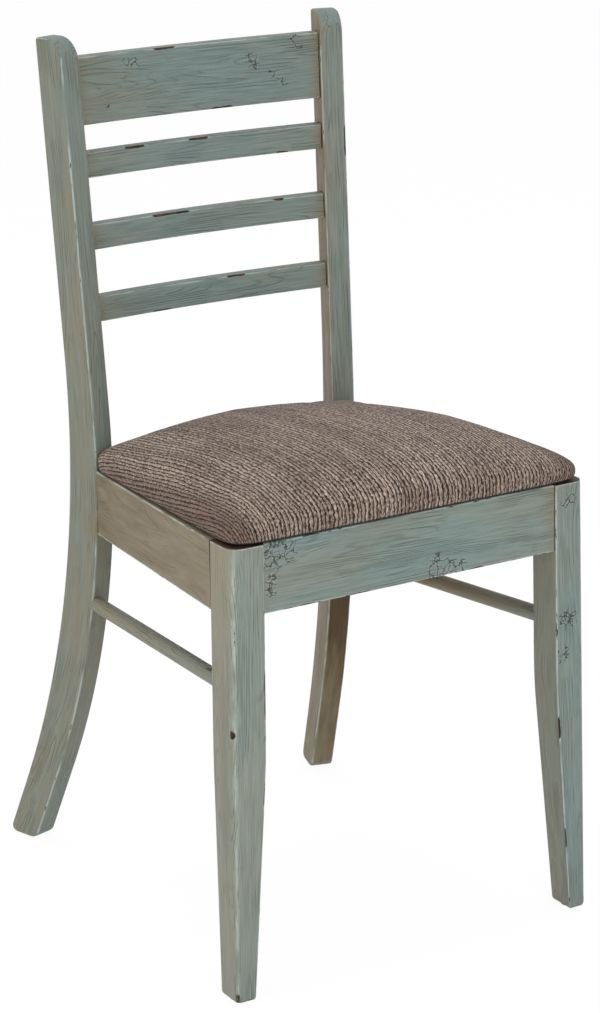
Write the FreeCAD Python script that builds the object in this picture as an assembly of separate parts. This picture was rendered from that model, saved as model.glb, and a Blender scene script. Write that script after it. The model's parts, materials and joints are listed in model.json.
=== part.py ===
import FreeCAD, Part
import math
import os

# Painted side chair with a ladder back and a loose upholstered seat pad.
# Millimetres. X runs across the seat, the front faces -Y, Z is up, and the feet stand on Z = 0.
# Lengths below are measured from the front faces of the front legs; the origin is set at the end.
# Pieces of one side are made for the left (-X) and mirrored.

V = FreeCAD.Vector

# Front legs
leg_top = 447.0
front_half_width = 196.3
front_splay = 5.8
front_leg_width = 34.9
front_leg_depth = 39.7
front_foot_width = 20.3
front_foot_depth = 30.5
front_taper_height = 239.0
front_taper_radius = 900.0
front_corner_radius = 13.0
front_corner_foot_radius = 6.0
front_leg_ease = 2.0

# Rear legs, each one curved board that is turned outwards about the vertical
rear_half_width = 152.7
rear_front_y = 345.9
rear_turn_angle = 16.5
rear_thickness = 24.2
post_top = 858.0
foot_sweep = 115.9
foot_depth = 40.9
foot_angle = 24.4
lean_angle = 4.0
bend_height = 284.0
front_bend_radius = 830.0
back_bend_radius = 995.0
post_top_depth = 34.8
post_top_radius = 22.0
post_back_radius = 3.5
foot_front_radius = 8.0
foot_back_radius = 9.0
rear_leg_ease = 2.2

# Glides under the feet
glide_height = 1.0
glide_radius = 8.0
glide_nail_radius = 1.2
glide_nail_length = 12.0

# Seat frame
apron_height = 67.0
apron_thickness = 20.0
seat_drop = 16.6
front_apron_recess = 2.3
rear_apron_recess = 1.5
apron_ease = 1.5
apron_bite = 6.0

# Back rails: how far each one's top edge lies below the tops of the posts, and how tall they are
crest_drop = 20.5
upper_slat_drop = 113.3
middle_slat_drop = 184.4
lower_slat_drop = 256.3
crest_height = 66.5
slat_height = 25.4
rail_thickness = 16.0
rail_recess = 5.5
rail_bow = 6.7
rail_ease = 2.5
tenon_thickness = 8.0
tenon_length = 15.0
tenon_shoulder = 4.0

# Side stretchers
stretcher_radius = 7.9
stretcher_front_height = 301.8
stretcher_rear_height = 285.0
stretcher_seat = 14.0

# Joints and fasteners
joint_clearance = 0.1
end_clearance = 0.5
dowel_radius = 4.0
dowel_length = 30.0
side_dowel_spacing = 38.0
cross_dowel_spacing = 18.0
block_reach = 46.0
block_height = 24.0
block_drop = 3.0
block_screw_place = 24.0
block_screw_wall = 11.0
block_screw_grip = 12.0
seat_screw_inset = 9.0
seat_screw_grip = 6.0
screw_radius = 2.2
screw_head_radius = 4.2
screw_head_height = 2.6

# Seat pad, which lies on the plane of the sloping seat frame; its outline is given at its widest level
pad_front_y = 0.5
pad_rear_gap = 4.0
pad_front_margin = 3.3
pad_rear_margin = 2.2
pad_front_bow = 1.5
pad_side_bow = 3.0
pad_rear_bow = 27.0
pad_front_corner = 30.0
pad_rear_corner = 18.0
pad_top_corner = 115.0
pad_top_bow = 24.0
pad_height = 61.0
cover_thickness = 1.6
cover_fold = 48.0
board_thickness = 9.0
dust_inset = 38.0
dust_thickness = 0.8
staple_inset = 43.0
staple_crown = 10.0
staple_wire = 1.2
staple_leg = 7.0
staple_across_count = 5
staple_along_count = 5
# The height of each level of the pad, and how far its outline is drawn in there towards the middle
level_height_shares = [0.0, 0.05, 0.13, 0.24, 0.36, 0.46, 0.57, 0.7, 0.82, 0.92, 0.98, 1.0]
level_inset_shares = [0.02, 0.009, 0.002, 0.0, 0.012, 0.04, 0.12, 0.26, 0.42, 0.6, 0.78, 0.88]

# Longest reach of a cutting shape past the chair
overrun = 60.0

turn = math.radians(rear_turn_angle)
lean = math.tan(math.radians(lean_angle))
sweep = math.tan(math.radians(foot_angle))
seat_slope = seat_drop / (rear_front_y - front_leg_depth)
pad_front_half = front_half_width - pad_front_margin
pad_rear_half = rear_half_width - pad_rear_margin


def unit(vector):
    """The vector at length one."""
    return V(vector).normalize()


def polygon(points):
    """Closed wire through the points."""
    return Part.makePolygon(list(points) + [points[0]])


def prism(wire, along):
    """Solid swept from a flat closed wire."""
    return Part.Face(wire).extrude(along)


def rounded_wire(corners, place):
    """Closed wire of straight runs, with an arc at each (a, b, radius) corner whose radius isn't zero."""
    spots = []
    for i, (a, b, radius) in enumerate(corners):
        here = V(a, b, 0)
        if radius == 0:
            spots.append((here, None, here))
            continue
        before = unit(V(*corners[i - 1][:2], 0) - here)
        after = unit(V(*corners[(i + 1) % len(corners)][:2], 0) - here)
        half = (math.pi - before.getAngle(after)) / 2
        reach = radius * math.tan(half)
        depth = radius / math.cos(half) - radius
        spots.append((here + before * reach, here + unit(before + after) * depth, here + after * reach))
    edges = []
    for i, (start, middle, end) in enumerate(spots):
        following = spots[(i + 1) % len(spots)][0]
        if middle is not None:
            edges.append(Part.Arc(*[place(p.x, p.y) for p in (start, middle, end)]).toShape())
        edges.append(Part.LineSegment(place(end.x, end.y), place(following.x, following.y)).toShape())
    return Part.Wire(edges)


def bar(start, along, length, radius):
    """Round bar from a point along a direction."""
    return Part.makeCylinder(radius, length, start, along)


def mirrored(shape):
    """The same piece on the other side of the chair."""
    return shape.mirror(V(0, 0, 0), V(1, 0, 0))


def both(shapes):
    """The pieces and their copies on the other side."""
    return list(shapes) + [mirrored(s) for s in shapes]


def eased(shape, radius, wanted):
    """The shape with the wanted edges rounded."""
    return shape.makeFillet(radius, [e for e in shape.Edges if wanted(e)])


def middle_of(edge):
    """The point halfway along an edge."""
    return edge.valueAt((edge.FirstParameter + edge.LastParameter) / 2)


# Seat plane

def seat_plane(y):
    """Height of the seat frame's sloping top at a depth."""
    return leg_top - seat_slope * (y - front_leg_depth)


def seat_slab(drop, height):
    """Everything between the seat frame's top, lowered by a drop, and a height below that."""
    near, far = -overrun, rear_front_y + overrun * 2
    half = front_half_width + overrun
    top = [(y, seat_plane(y) - drop) for y in (near, far)]
    outline = top + [(y, z - height) for y, z in reversed(top)]
    return prism(polygon([V(-half, y, z) for y, z in outline]), V(half * 2, 0, 0))


# Front legs

def front_outer(z):
    """How far a front leg's outer face stands from the middle at a height."""
    return front_half_width + front_splay * (leg_top - z) / leg_top


def front_leg_raw():
    """Left front leg with sharp edges: its front view crossed with its side view."""
    foot_outer = front_outer(glide_height)
    front_view = [
        (-front_outer(leg_top), leg_top, 0),
        (-foot_outer, glide_height, 0),
        (-foot_outer + front_foot_width, glide_height, 0),
        (-front_outer(front_taper_height) + front_leg_width, front_taper_height, front_taper_radius),
        (-front_outer(leg_top) + front_leg_width, leg_top, 0),
    ]
    side_view = [
        (0, leg_top, 0),
        (0, glide_height, 0),
        (front_foot_depth, glide_height, 0),
        (front_leg_depth, front_taper_height, front_taper_radius),
        (front_leg_depth, leg_top, 0),
    ]
    start = -front_half_width - overrun
    wide = prism(rounded_wire(front_view, lambda a, b: V(a, -overrun, b)), V(0, overrun * 3, 0))
    deep = prism(rounded_wire(side_view, lambda a, b: V(start, a, b)), V(overrun * 3, 0, 0))
    return wide.common(deep)


def front_leg_rounded(raw):
    """The front leg with its large outer corner, which sharpens towards the foot, and eased edges."""
    def is_tall(edge):
        return abs(edge.Vertexes[0].Z - edge.Vertexes[-1].Z) > front_leg_width

    def at_corner(edge):
        p = middle_of(edge)
        return is_tall(edge) and p.y < front_leg_ease and p.x < -front_half_width
    corner = [e for e in raw.Edges if at_corner(e)]
    leg = raw.makeFillet(front_corner_radius, front_corner_foot_radius, corner)

    def is_other(edge):
        p = middle_of(edge)
        at_front = p.y < front_leg_ease and p.x > -front_half_width + front_leg_width / 2
        return is_tall(edge) and (at_front or p.y > front_foot_depth / 2)
    return eased(leg, front_leg_ease, is_other)


# Rear legs

def rear_place(solid):
    """Moves a shape made in a rear leg's own frame (X inwards, Y back) to the left leg's place."""
    solid = solid.copy()
    solid.rotate(V(0, 0, 0), V(0, 0, 1), rear_turn_angle)
    solid.translate(V(-rear_half_width, rear_front_y, 0))
    return solid


def rear_point(inwards, back, z):
    """World place of a point in the left rear leg's own frame."""
    x = inwards * math.cos(turn) - back * math.sin(turn)
    y = inwards * math.sin(turn) + back * math.cos(turn)
    return V(x - rear_half_width, y + rear_front_y, z)


def post_front(z):
    """How far back the straight front line of the post lies at a height."""
    return foot_sweep - bend_height * sweep + (z - bend_height) * lean


def rear_profile():
    """Corners of the rear leg's side view: a swept foot, one long bend, a leaning post."""
    back_foot = foot_sweep + foot_depth
    back_low = post_front(0) + post_top_depth
    meet = (back_foot - back_low) / (sweep + lean)
    return [
        (foot_sweep - glide_height * sweep, glide_height, foot_front_radius),
        (post_front(bend_height), bend_height, front_bend_radius),
        (post_front(post_top), post_top, post_top_radius),
        (post_front(post_top) + post_top_depth, post_top, post_back_radius),
        (back_low + meet * lean, meet, back_bend_radius),
        (back_foot - glide_height * sweep, glide_height, foot_back_radius),
    ]


def rear_board():
    """A rear leg with sharp long edges, in its own frame."""
    return prism(rounded_wire(rear_profile(), lambda a, b: V(0, a, b)), V(rear_thickness, 0, 0))


def rear_leg_rounded():
    """The left rear leg with every long edge rounded."""
    def is_long(edge):
        """Whether an edge runs along one side of the board and not through its thickness."""
        return abs(edge.Vertexes[0].X - edge.Vertexes[-1].X) < rear_thickness / 2
    return rear_place(eased(rear_board(), rear_leg_ease, is_long))


def between_posts(extra):
    """Tall prism between the rear legs' inner faces, widened into each by an extra length."""
    near = rear_point(rear_thickness - extra, -overrun, glide_height)
    far = rear_point(rear_thickness - extra, overrun * 2, glide_height)
    outline = [near, far, V(-far.x, far.y, far.z), V(-near.x, near.y, near.z)]
    return prism(polygon(outline), V(0, 0, post_top))


# Back rails

def rail_band(bottom, height, inset, thickness, gap):
    """Bowed band between the posts, leaning with them, with a gap added all round its section."""
    middle = bottom + height / 2
    face = rear_point(rear_thickness, post_front(middle), middle)
    chord = -face.x
    radius = (chord ** 2 + rail_bow ** 2) / (2 * rail_bow)
    centre_y = face.y + rail_recess + rail_bow - radius
    reach = math.asin((chord + overrun) / (radius + rail_thickness))
    low = bottom + inset - gap
    tall = height - inset * 2 + gap * 2
    inner = radius + (rail_thickness - thickness) / 2 - gap
    outer = inner + thickness + gap * 2
    offset = (low - middle) * lean * math.cos(turn)

    def spot(r, angle):
        return V(r * math.sin(angle), centre_y + offset + r * math.cos(angle), low)
    front = Part.Arc(spot(inner, -reach), spot(inner, 0), spot(inner, reach)).toShape()
    back = Part.Arc(spot(outer, reach), spot(outer, 0), spot(outer, -reach)).toShape()
    ends = [
        Part.LineSegment(spot(inner, reach), spot(outer, reach)).toShape(),
        Part.LineSegment(spot(outer, -reach), spot(inner, -reach)).toShape(),
    ]
    wire = Part.Wire([front, ends[0], back, ends[1]])
    return prism(wire, V(0, tall * lean * math.cos(turn), tall))


def rail(bottom, height):
    """A rail of the back with a tenon at each end."""
    band = rail_band(bottom, height, 0, rail_thickness, 0)
    band = eased(band, rail_ease, lambda e: e.Length > rear_half_width)
    tongue = rail_band(bottom, height, tenon_shoulder, tenon_thickness, 0)
    body = band.common(between_posts(0))
    return body.fuse(tongue.common(between_posts(tenon_length))).removeSplitter()


def mortises(bottom, height):
    """The space that a rail's two tenons need in the posts."""
    band = rail_band(bottom, height, tenon_shoulder, tenon_thickness, joint_clearance)
    return band.common(between_posts(tenon_length + end_clearance))


# Seat frame

def front_apron():
    """Front rail of the seat, flush with the leg tops."""
    half = front_half_width - front_leg_width + apron_bite
    size = (half * 2, apron_thickness, apron_height)
    board = Part.makeBox(*size, V(-half, front_apron_recess, leg_top - apron_height))
    board = eased(board, apron_ease, lambda e: e.Length > half and middle_of(e).y < apron_thickness / 2)
    return board


def rear_apron_face():
    """Depth of the rear apron's front face."""
    return rear_point(rear_thickness, 0, 0).y + rear_apron_recess


def rear_apron():
    """Rear rail of the seat, between the rear legs."""
    half = rear_half_width
    low = leg_top - apron_height - seat_drop * 2
    size = (half * 2, apron_thickness, apron_height + seat_drop * 2)
    board = Part.makeBox(*size, V(-half, rear_apron_face(), low))
    return board.common(seat_slab(0, apron_height)).common(between_posts(apron_bite))


def side_line():
    """Ends of the left side apron's outer face in plan, and the unit vectors along it and inwards."""
    start = V(-front_half_width, front_leg_depth, 0)
    end = V(-rear_half_width, rear_front_y, 0)
    along = unit(end - start)
    return start, end, along, V(along.y, -along.x, 0)


def side_apron():
    """Left side rail of the seat, which slopes down to the back."""
    start, end, along, inwards = side_line()
    tail = end + along * apron_bite
    near = start + along * (-overrun)
    outline = [near, tail, tail + inwards * apron_thickness, near + inwards * apron_thickness]
    board = prism(polygon(outline), V(0, 0, leg_top + overrun))
    behind_leg = Part.makeBox(overrun * 6, rear_front_y * 2, leg_top * 2, V(-overrun * 6, front_leg_depth, 0))
    return board.common(seat_slab(0, apron_height)).common(behind_leg)


def stretcher_ends():
    """Ends of the left side stretcher, inside the two legs."""
    middle_x = front_half_width - front_leg_width / 2
    half_bend = math.radians(foot_angle + lean_angle) / 2
    bend_back = post_front(bend_height) + front_bend_radius / math.cos(half_bend) - front_bend_radius
    front = V(-middle_x, front_leg_depth - stretcher_seat, stretcher_front_height)
    return front, rear_point(rear_thickness / 2, bend_back + stretcher_seat, stretcher_rear_height)


def stretcher(extra_radius, extra_length):
    """The left side stretcher, a round bar let into both legs, or the space that it needs."""
    front, rear = stretcher_ends()
    along = unit(rear - front)
    length = (rear - front).Length + extra_length * 2
    return bar(front - along * extra_length, along, length, stretcher_radius + extra_radius)


# Dowels, blocks and screws

def dowel_places():
    """Middle and direction of each dowel of the left side's joints, which ties an apron to a leg."""
    half_z = leg_top - apron_height / 2
    start, end, along, inwards = side_line()
    spread = side_dowel_spacing / 2
    inner = -front_half_width + front_leg_width
    front_y = front_apron_recess + apron_thickness / 2
    rear_y = rear_apron_face() + apron_thickness / 2
    rear_x = rear_point(rear_thickness, (rear_y - rear_point(rear_thickness, 0, 0).y) / math.cos(turn), 0).x
    rear_z = seat_plane(rear_y) - apron_height / 2
    side_front = start + inwards * (apron_thickness / 2)
    side_rear = end + inwards * (apron_thickness / 2)
    tilt = unit(along + V(0, 0, -seat_slope))
    places = []
    for sign in (-1, 1):
        places.append((V(inner, front_y, half_z + sign * spread), V(1, 0, 0)))
        places.append((V(rear_x, rear_y, rear_z + sign * cross_dowel_spacing / 2), V(1, 0, 0)))
        for spot in (side_front, side_rear):
            z = seat_plane(spot.y) - apron_height / 2 + sign * spread
            places.append((V(spot.x, spot.y, z), tilt))
    return places


def dowels(extra_radius, extra_length):
    """Dowels of the left side's joints, or the holes for them."""
    length = dowel_length + extra_length * 2
    return [
        bar(spot - along * (length / 2), along, length, dowel_radius + extra_radius)
        for spot, along in dowel_places()
    ]


def blocks_plan():
    """Each left corner block: its corner in the frame, its two far points and the leg it is notched for."""
    start, _, along, inwards = side_line()
    inner = start + inwards * apron_thickness

    def on_side(y):
        return inner + along * ((y - inner.y) / along.y)
    front_y = front_apron_recess + apron_thickness
    rear_y = rear_apron_face()
    leg_inner = -front_half_width + front_leg_width
    post_inner = rear_point(rear_thickness, 0, 0).x
    front = (on_side(front_y), V(leg_inner + block_reach, front_y, 0), on_side(front_leg_depth + block_reach))
    rear = (on_side(rear_y), V(post_inner + block_reach, rear_y, 0), on_side(rear_front_y - block_reach))
    return {"front": front, "rear": rear}


def block_screws(corner, across, behind):
    """Start, direction and length of the two screws that hold a corner block to its aprons."""
    _, _, along, inwards = side_line()
    sign = 1 if behind.y > corner.y else -1
    towards_y = V(0, -sign, 0)
    at_front = V(across.x - block_reach + block_screw_place, across.y, 0)
    at_side = behind - along * (sign * (block_reach - block_screw_place))
    length = block_screw_wall + block_screw_grip
    places = []
    for spot, direction in ((at_front, towards_y), (at_side, inwards * -1)):
        z = seat_plane(spot.y) - block_drop - block_height / 2
        face = V(spot.x, spot.y, z)
        places.append((face - direction * block_screw_wall, direction, length))
    return places


def seat_normal():
    """Unit vector square to the seat plane."""
    return unit(V(0, seat_slope, 1))


def seat_screw_place(corner, across, behind):
    """Foot of the seat screw on the underside of a block, near the middle of its long face."""
    middle = (across + behind) / 2
    spot = middle + unit(corner - middle) * seat_screw_inset
    return V(spot.x, spot.y, seat_plane(spot.y) - block_drop - block_height)


def screw(place, direction, length, extra):
    """A round-headed screw whose shank starts at a place, or the hole for its shank."""
    shank = bar(place, direction, length + extra, screw_radius + extra)
    if extra > 0:
        return shank
    head = bar(place - direction * screw_head_height, direction, screw_head_height, screw_head_radius)
    return shank.fuse(head).removeSplitter()


# Seat pad, made flat and then laid on the slope

def pad_rear_y():
    """Depth of the pad's rear corners."""
    return rear_front_y - pad_rear_gap


def arc_circle(a, b, bow):
    """Centre and radius of the arc from a to b that bows to the right of the way by a height."""
    chord = b - a
    radius = ((chord.Length / 2) ** 2 + bow ** 2) / (2 * bow)
    return (a + b) / 2 - unit(V(chord.y, -chord.x, 0)) * (radius - bow), radius


def corner_circle(first, second, radius, near):
    """Centre of the corner arc that meets two side circles, on the side of a point."""
    (c1, r1), (c2, r2) = first, second
    gap = c2 - c1
    reach1, reach2 = r1 - radius, r2 - radius
    along = (reach1 ** 2 - reach2 ** 2 + gap.Length ** 2) / (2 * gap.Length)
    off = math.sqrt(reach1 ** 2 - along ** 2)
    foot = c1 + unit(gap) * along
    side = unit(V(-gap.y, gap.x, 0)) * off
    return min((foot + side, foot - side), key=lambda p: (p - near).Length)


def grown(size, top_size, share):
    """A size that grows towards its value at the top of the crown as an outline shrinks to a share."""
    return size + (top_size - size) * (1 - share)


def pad_outline(inset, share, z):
    """Outline of the pad: four bowed sides and four round corners, drawn in and then shrunk to a share."""
    front, rear = pad_front_y + inset, pad_rear_y() - inset
    half_front, half_rear = pad_front_half - inset, pad_rear_half - inset
    right = [V(half_front, front, 0), V(half_rear, rear, 0)]
    corners = right + [V(-half_rear, rear, 0), V(-half_front, front, 0)]
    side_bow = grown(pad_side_bow, pad_top_bow, share)
    bows = [side_bow, pad_rear_bow, side_bow, grown(pad_front_bow, pad_top_bow, share)]
    base_radii = [pad_front_corner, pad_rear_corner, pad_rear_corner, pad_front_corner]
    radii = [grown(radius, pad_top_corner, share) for radius in base_radii]
    sides = [arc_circle(corners[i], corners[(i + 1) % 4], bows[i]) for i in range(4)]
    middle = V(0, (pad_front_y + pad_rear_y()) / 2, 0)

    def place(p):
        q = middle + (p - middle) * share
        return V(q.x, q.y, z)
    turns = []
    for i in range(4):
        first, second = sides[i - 1], sides[i]
        centre = corner_circle(first, second, radii[i], corners[i])
        start = first[0] + unit(centre - first[0]) * first[1]
        end = second[0] + unit(centre - second[0]) * second[1]
        turns.append((start, centre + unit(start + end - centre * 2) * radii[i], end))
    edges = []
    for i in range(4):
        start, top, end = turns[i]
        following = turns[(i + 1) % 4][0]
        centre, radius = sides[i]
        crest = centre + unit(end + following - centre * 2) * radius
        edges.append(Part.Arc(place(start), place(top), place(end)).toShape())
        edges.append(Part.Arc(place(end), place(crest), place(following)).toShape())
    return Part.Wire(edges)


def pad_shape(skin):
    """Solid of the whole pad, or of what fills its cover, a skin's thickness inside it."""
    scale = (pad_front_half - skin) / pad_front_half
    tall = pad_height - skin * 2
    levels = [
        pad_outline(0, (1 - inset) * scale, skin + tall * height)
        for height, inset in zip(level_height_shares, level_inset_shares)
    ]
    return Part.makeLoft(levels, True, False)


def flat_sheet(inset, low, thickness):
    """Sheet of the pad's outline, drawn in all round."""
    return prism(pad_outline(inset, 1, low), V(0, 0, thickness))


def staple_places():
    """Middle and direction of each staple under the pad, set in from its four sides."""
    front, rear = pad_front_y + staple_inset, pad_rear_y() - staple_inset
    half_front, half_rear = pad_front_half - staple_inset, pad_rear_half - staple_inset
    sides = [
        (V(-half_front, front, 0), V(half_front, front, 0), staple_across_count),
        (V(half_front, front, 0), V(half_rear, rear, 0), staple_along_count),
        (V(half_rear, rear, 0), V(-half_rear, rear, 0), staple_across_count),
        (V(-half_rear, rear, 0), V(-half_front, front, 0), staple_along_count),
    ]
    places = []
    for a, b, count in sides:
        for k in range(count):
            places.append((a + (b - a) * ((k + 1) / (count + 1)), unit(b - a)))
    return places


def staple(spot, along):
    """One staple: a crown under the dust cover and two legs up into the board."""
    square = staple_wire / 2
    low = -dust_thickness - staple_wire
    crown = Part.makeBox(staple_crown, staple_wire, staple_wire, V(-staple_crown / 2, -square, low))
    legs = [
        Part.makeBox(staple_wire, staple_wire, staple_leg + staple_wire, V(x, -square, low))
        for x in (-staple_crown / 2, staple_crown / 2 - staple_wire)
    ]
    shape = crown.multiFuse(legs).removeSplitter()
    shape.rotate(V(0, 0, 0), V(0, 0, 1), math.degrees(math.atan2(along.y, along.x)))
    shape.translate(spot)
    return shape


def laid(shape):
    """A flat-made pad piece laid on the sloping seat frame."""
    shape = shape.copy()
    shape.translate(V(0, 0, leg_top))
    shape.rotate(V(0, front_leg_depth, leg_top), V(1, 0, 0), -math.degrees(math.atan(seat_slope)))
    return shape


def seat_pad(screw_holes):
    """Board, foam, cover, dust cover and staples of the pad."""
    whole = pad_shape(0)
    filling = pad_shape(cover_thickness)
    board_top = cover_thickness + board_thickness
    half = pad_front_half + overrun
    below = Part.makeBox(half * 2, half * 3, board_top, V(-half, -half, 0))
    fold_window = flat_sheet(cover_fold, -overrun, overrun + cover_thickness)
    staples = [staple(spot, along) for spot, along in staple_places()]
    pieces = {
        "seat_cover": whole.cut(filling).cut(fold_window),
        "seat_board": filling.common(below),
        "seat_foam": filling.cut(below),
        "dust_cover": flat_sheet(dust_inset, -dust_thickness, dust_thickness),
    }
    for name in ("seat_cover", "seat_board", "dust_cover"):
        pieces[name] = laid(pieces[name].cut(staples)).cut(screw_holes)
    pieces["seat_foam"] = laid(pieces["seat_foam"])
    pieces["cover_staples"] = Part.makeCompound([laid(s) for s in staples])
    return pieces


# Glides

def glide_places():
    """Middle of each left foot's underside."""
    foot_x = -front_outer(glide_height) + front_foot_width / 2
    rear_back = foot_sweep - glide_height * sweep + foot_depth / 2
    return [V(foot_x, front_foot_depth / 2, 0), rear_point(rear_thickness / 2, rear_back, 0)]


def glide(place):
    """A nail-on glide: a round disc and its nail."""
    disc = bar(place, V(0, 0, 1), glide_height, glide_radius)
    return disc.fuse(glide_nail(place, 0)).removeSplitter()


def glide_nail(place, extra):
    """The nail of a glide, or the hole for it."""
    top = place + V(0, 0, glide_height)
    return bar(top, V(0, 0, 1), glide_nail_length + extra, glide_nail_radius + extra)


# Assembly

def build():
    """Every node of the chair, by name."""
    drops = {
        "crest_rail": (crest_drop, crest_height),
        "upper_slat": (upper_slat_drop, slat_height),
        "middle_slat": (middle_slat_drop, slat_height),
        "lower_slat": (lower_slat_drop, slat_height),
    }
    rails = {name: (post_top - drop - height, height) for name, (drop, height) in drops.items()}
    plan = blocks_plan()
    holders = [place for corner in plan.values() for place in block_screws(*corner)]
    normal = seat_normal()
    seat_length = block_height + block_drop + cover_thickness + seat_screw_grip
    feet = [seat_screw_place(*corner) for corner in plan.values()]
    dowel_holes = dowels(joint_clearance, end_clearance)
    holder_holes = [screw(*place, joint_clearance) for place in holders]
    seat_holes = [screw(foot, normal, seat_length, joint_clearance) for foot in feet]
    nail_holes = [glide_nail(place, joint_clearance) for place in glide_places()]
    stretcher_hole = stretcher(joint_clearance, end_clearance)

    raw_front, raw_rear = front_leg_raw(), rear_place(rear_board())
    leg_holes = dowel_holes + nail_holes + [stretcher_hole]
    front_leg = front_leg_rounded(raw_front).cut(leg_holes)
    rail_holes = [mortises(*size) for size in rails.values()]
    rear_leg = rear_leg_rounded().cut(leg_holes + rail_holes)

    side_holes = dowel_holes + holder_holes
    cross_holes = both(side_holes)
    parts = {name: rail(*size) for name, size in rails.items()}
    parts["front_apron"] = front_apron().cut(both([raw_front])).cut(cross_holes)
    parts["rear_apron"] = rear_apron().cut(both([raw_rear])).cut(cross_holes)
    left = {
        "front_leg": front_leg,
        "rear_leg": rear_leg,
        "side_apron": side_apron().cut([raw_rear]).cut(side_holes),
        "side_stretcher": stretcher(0, 0),
    }
    pockets = [
        bar(place, direction * -1, overrun, screw_head_radius + joint_clearance)
        for place, direction, length in holders
    ]
    for name, corner in plan.items():
        block = prism(polygon([V(p.x, p.y, 0) for p in corner]), V(0, 0, leg_top))
        block = block.common(seat_slab(block_drop, block_height)).cut([raw_front, raw_rear])
        left["corner_block_" + name] = block.cut(holder_holes + seat_holes + pockets)
    for name, shape in left.items():
        parts[name + "_left"] = shape
        parts[name + "_right"] = mirrored(shape)
    parts.update(seat_pad(both(seat_holes)))
    groups = {
        "frame_dowels": dowels(0, 0),
        "block_screws": [screw(*place, 0) for place in holders],
        "seat_screws": [screw(foot, normal, seat_length, 0) for foot in feet],
        "glides": [glide(place) for place in glide_places()],
    }
    for name, shapes in groups.items():
        parts[name] = Part.makeCompound(both(shapes))
    return parts


def main():
    """Builds the chair, sets its origin under the middle of its outline and writes each node."""
    os.makedirs("parts", exist_ok=True)
    parts = build()
    boxes = [parts[name].optimalBoundingBox() for name in ("front_leg_left", "rear_leg_left", "seat_cover")]
    middle_y = (min(b.YMin for b in boxes) + max(b.YMax for b in boxes)) / 2
    for name, shape in parts.items():
        shape.translate(V(0, -middle_y, 0))
        shape.exportStep("parts/" + name + ".step")
        print(name, len(shape.Solids), "solids", round(shape.Volume / 1000, 1), "cm3", shape.isValid())
    print("depth", round(middle_y * 2, 2))


main()
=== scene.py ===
"""Looks of the painted side chair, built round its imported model.

Metres. X runs across the seat, the front faces -Y, Z is up and the feet stand on Z = 0.
"""

import json
import logging
import math
from collections.abc import Callable, Iterable, Sequence
from dataclasses import dataclass
from enum import Enum

import bmesh
import bpy
from mathutils import Matrix, Vector
from mathutils.kdtree import KDTree

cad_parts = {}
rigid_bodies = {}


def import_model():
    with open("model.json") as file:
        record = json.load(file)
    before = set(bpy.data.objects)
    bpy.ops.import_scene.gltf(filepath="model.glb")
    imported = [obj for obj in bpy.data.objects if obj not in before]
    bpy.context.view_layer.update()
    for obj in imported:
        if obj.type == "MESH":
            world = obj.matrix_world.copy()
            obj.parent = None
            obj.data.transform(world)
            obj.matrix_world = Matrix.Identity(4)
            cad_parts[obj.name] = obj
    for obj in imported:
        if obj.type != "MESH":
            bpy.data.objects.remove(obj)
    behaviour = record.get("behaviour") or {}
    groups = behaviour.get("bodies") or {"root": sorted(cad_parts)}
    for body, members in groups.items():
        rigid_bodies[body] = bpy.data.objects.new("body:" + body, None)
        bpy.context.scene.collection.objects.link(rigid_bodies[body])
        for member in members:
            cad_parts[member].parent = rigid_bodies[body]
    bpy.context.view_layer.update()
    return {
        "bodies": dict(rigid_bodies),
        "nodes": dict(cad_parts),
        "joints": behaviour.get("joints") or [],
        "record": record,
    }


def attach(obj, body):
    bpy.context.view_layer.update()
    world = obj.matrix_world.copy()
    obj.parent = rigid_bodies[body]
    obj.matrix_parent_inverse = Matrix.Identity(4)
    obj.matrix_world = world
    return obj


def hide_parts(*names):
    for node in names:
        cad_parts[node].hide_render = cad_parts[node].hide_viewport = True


LOG = logging.getLogger("side_chair")
MM = 0.001
CLOSE = 1e-6
LEG_FRONT_Y = -248.515 * MM
WHITE = (1.0, 1.0, 1.0, 1.0)

# The number of a painted piece in this row chooses its part of the paint's pattern
PAINTED = (
    "rear_leg_left", "rear_leg_right", "front_leg_left", "front_leg_right",
    "front_apron", "rear_apron", "side_apron_left", "side_apron_right",
    "side_stretcher_left", "side_stretcher_right",
    "crest_rail", "upper_slat", "middle_slat", "lower_slat",
)

Place = Callable[[Vector], Vector]
Wanted = Callable[[Vector, Vector], bool]
Colour = tuple[float, float, float]
Spots = Iterable[tuple[Vector, float]]
Rows = tuple[tuple[float, float, float], ...]
Material = bpy.types.Material
Object = bpy.types.Object


class Side(Enum):
    """The two sides of the chair, as the ends of the names of their pieces."""

    LEFT = "left"
    RIGHT = "right"


class Slot(Enum):
    """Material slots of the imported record."""

    PAINT = "painted_wood"
    FABRIC = "striped_fabric"


# Shader maths


def adding(operation: str) -> Callable[..., "Signal"]:
    """A method of Signal that adds a Math node with this operation."""
    return lambda *values: values[0].maths(operation, *values)


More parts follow.
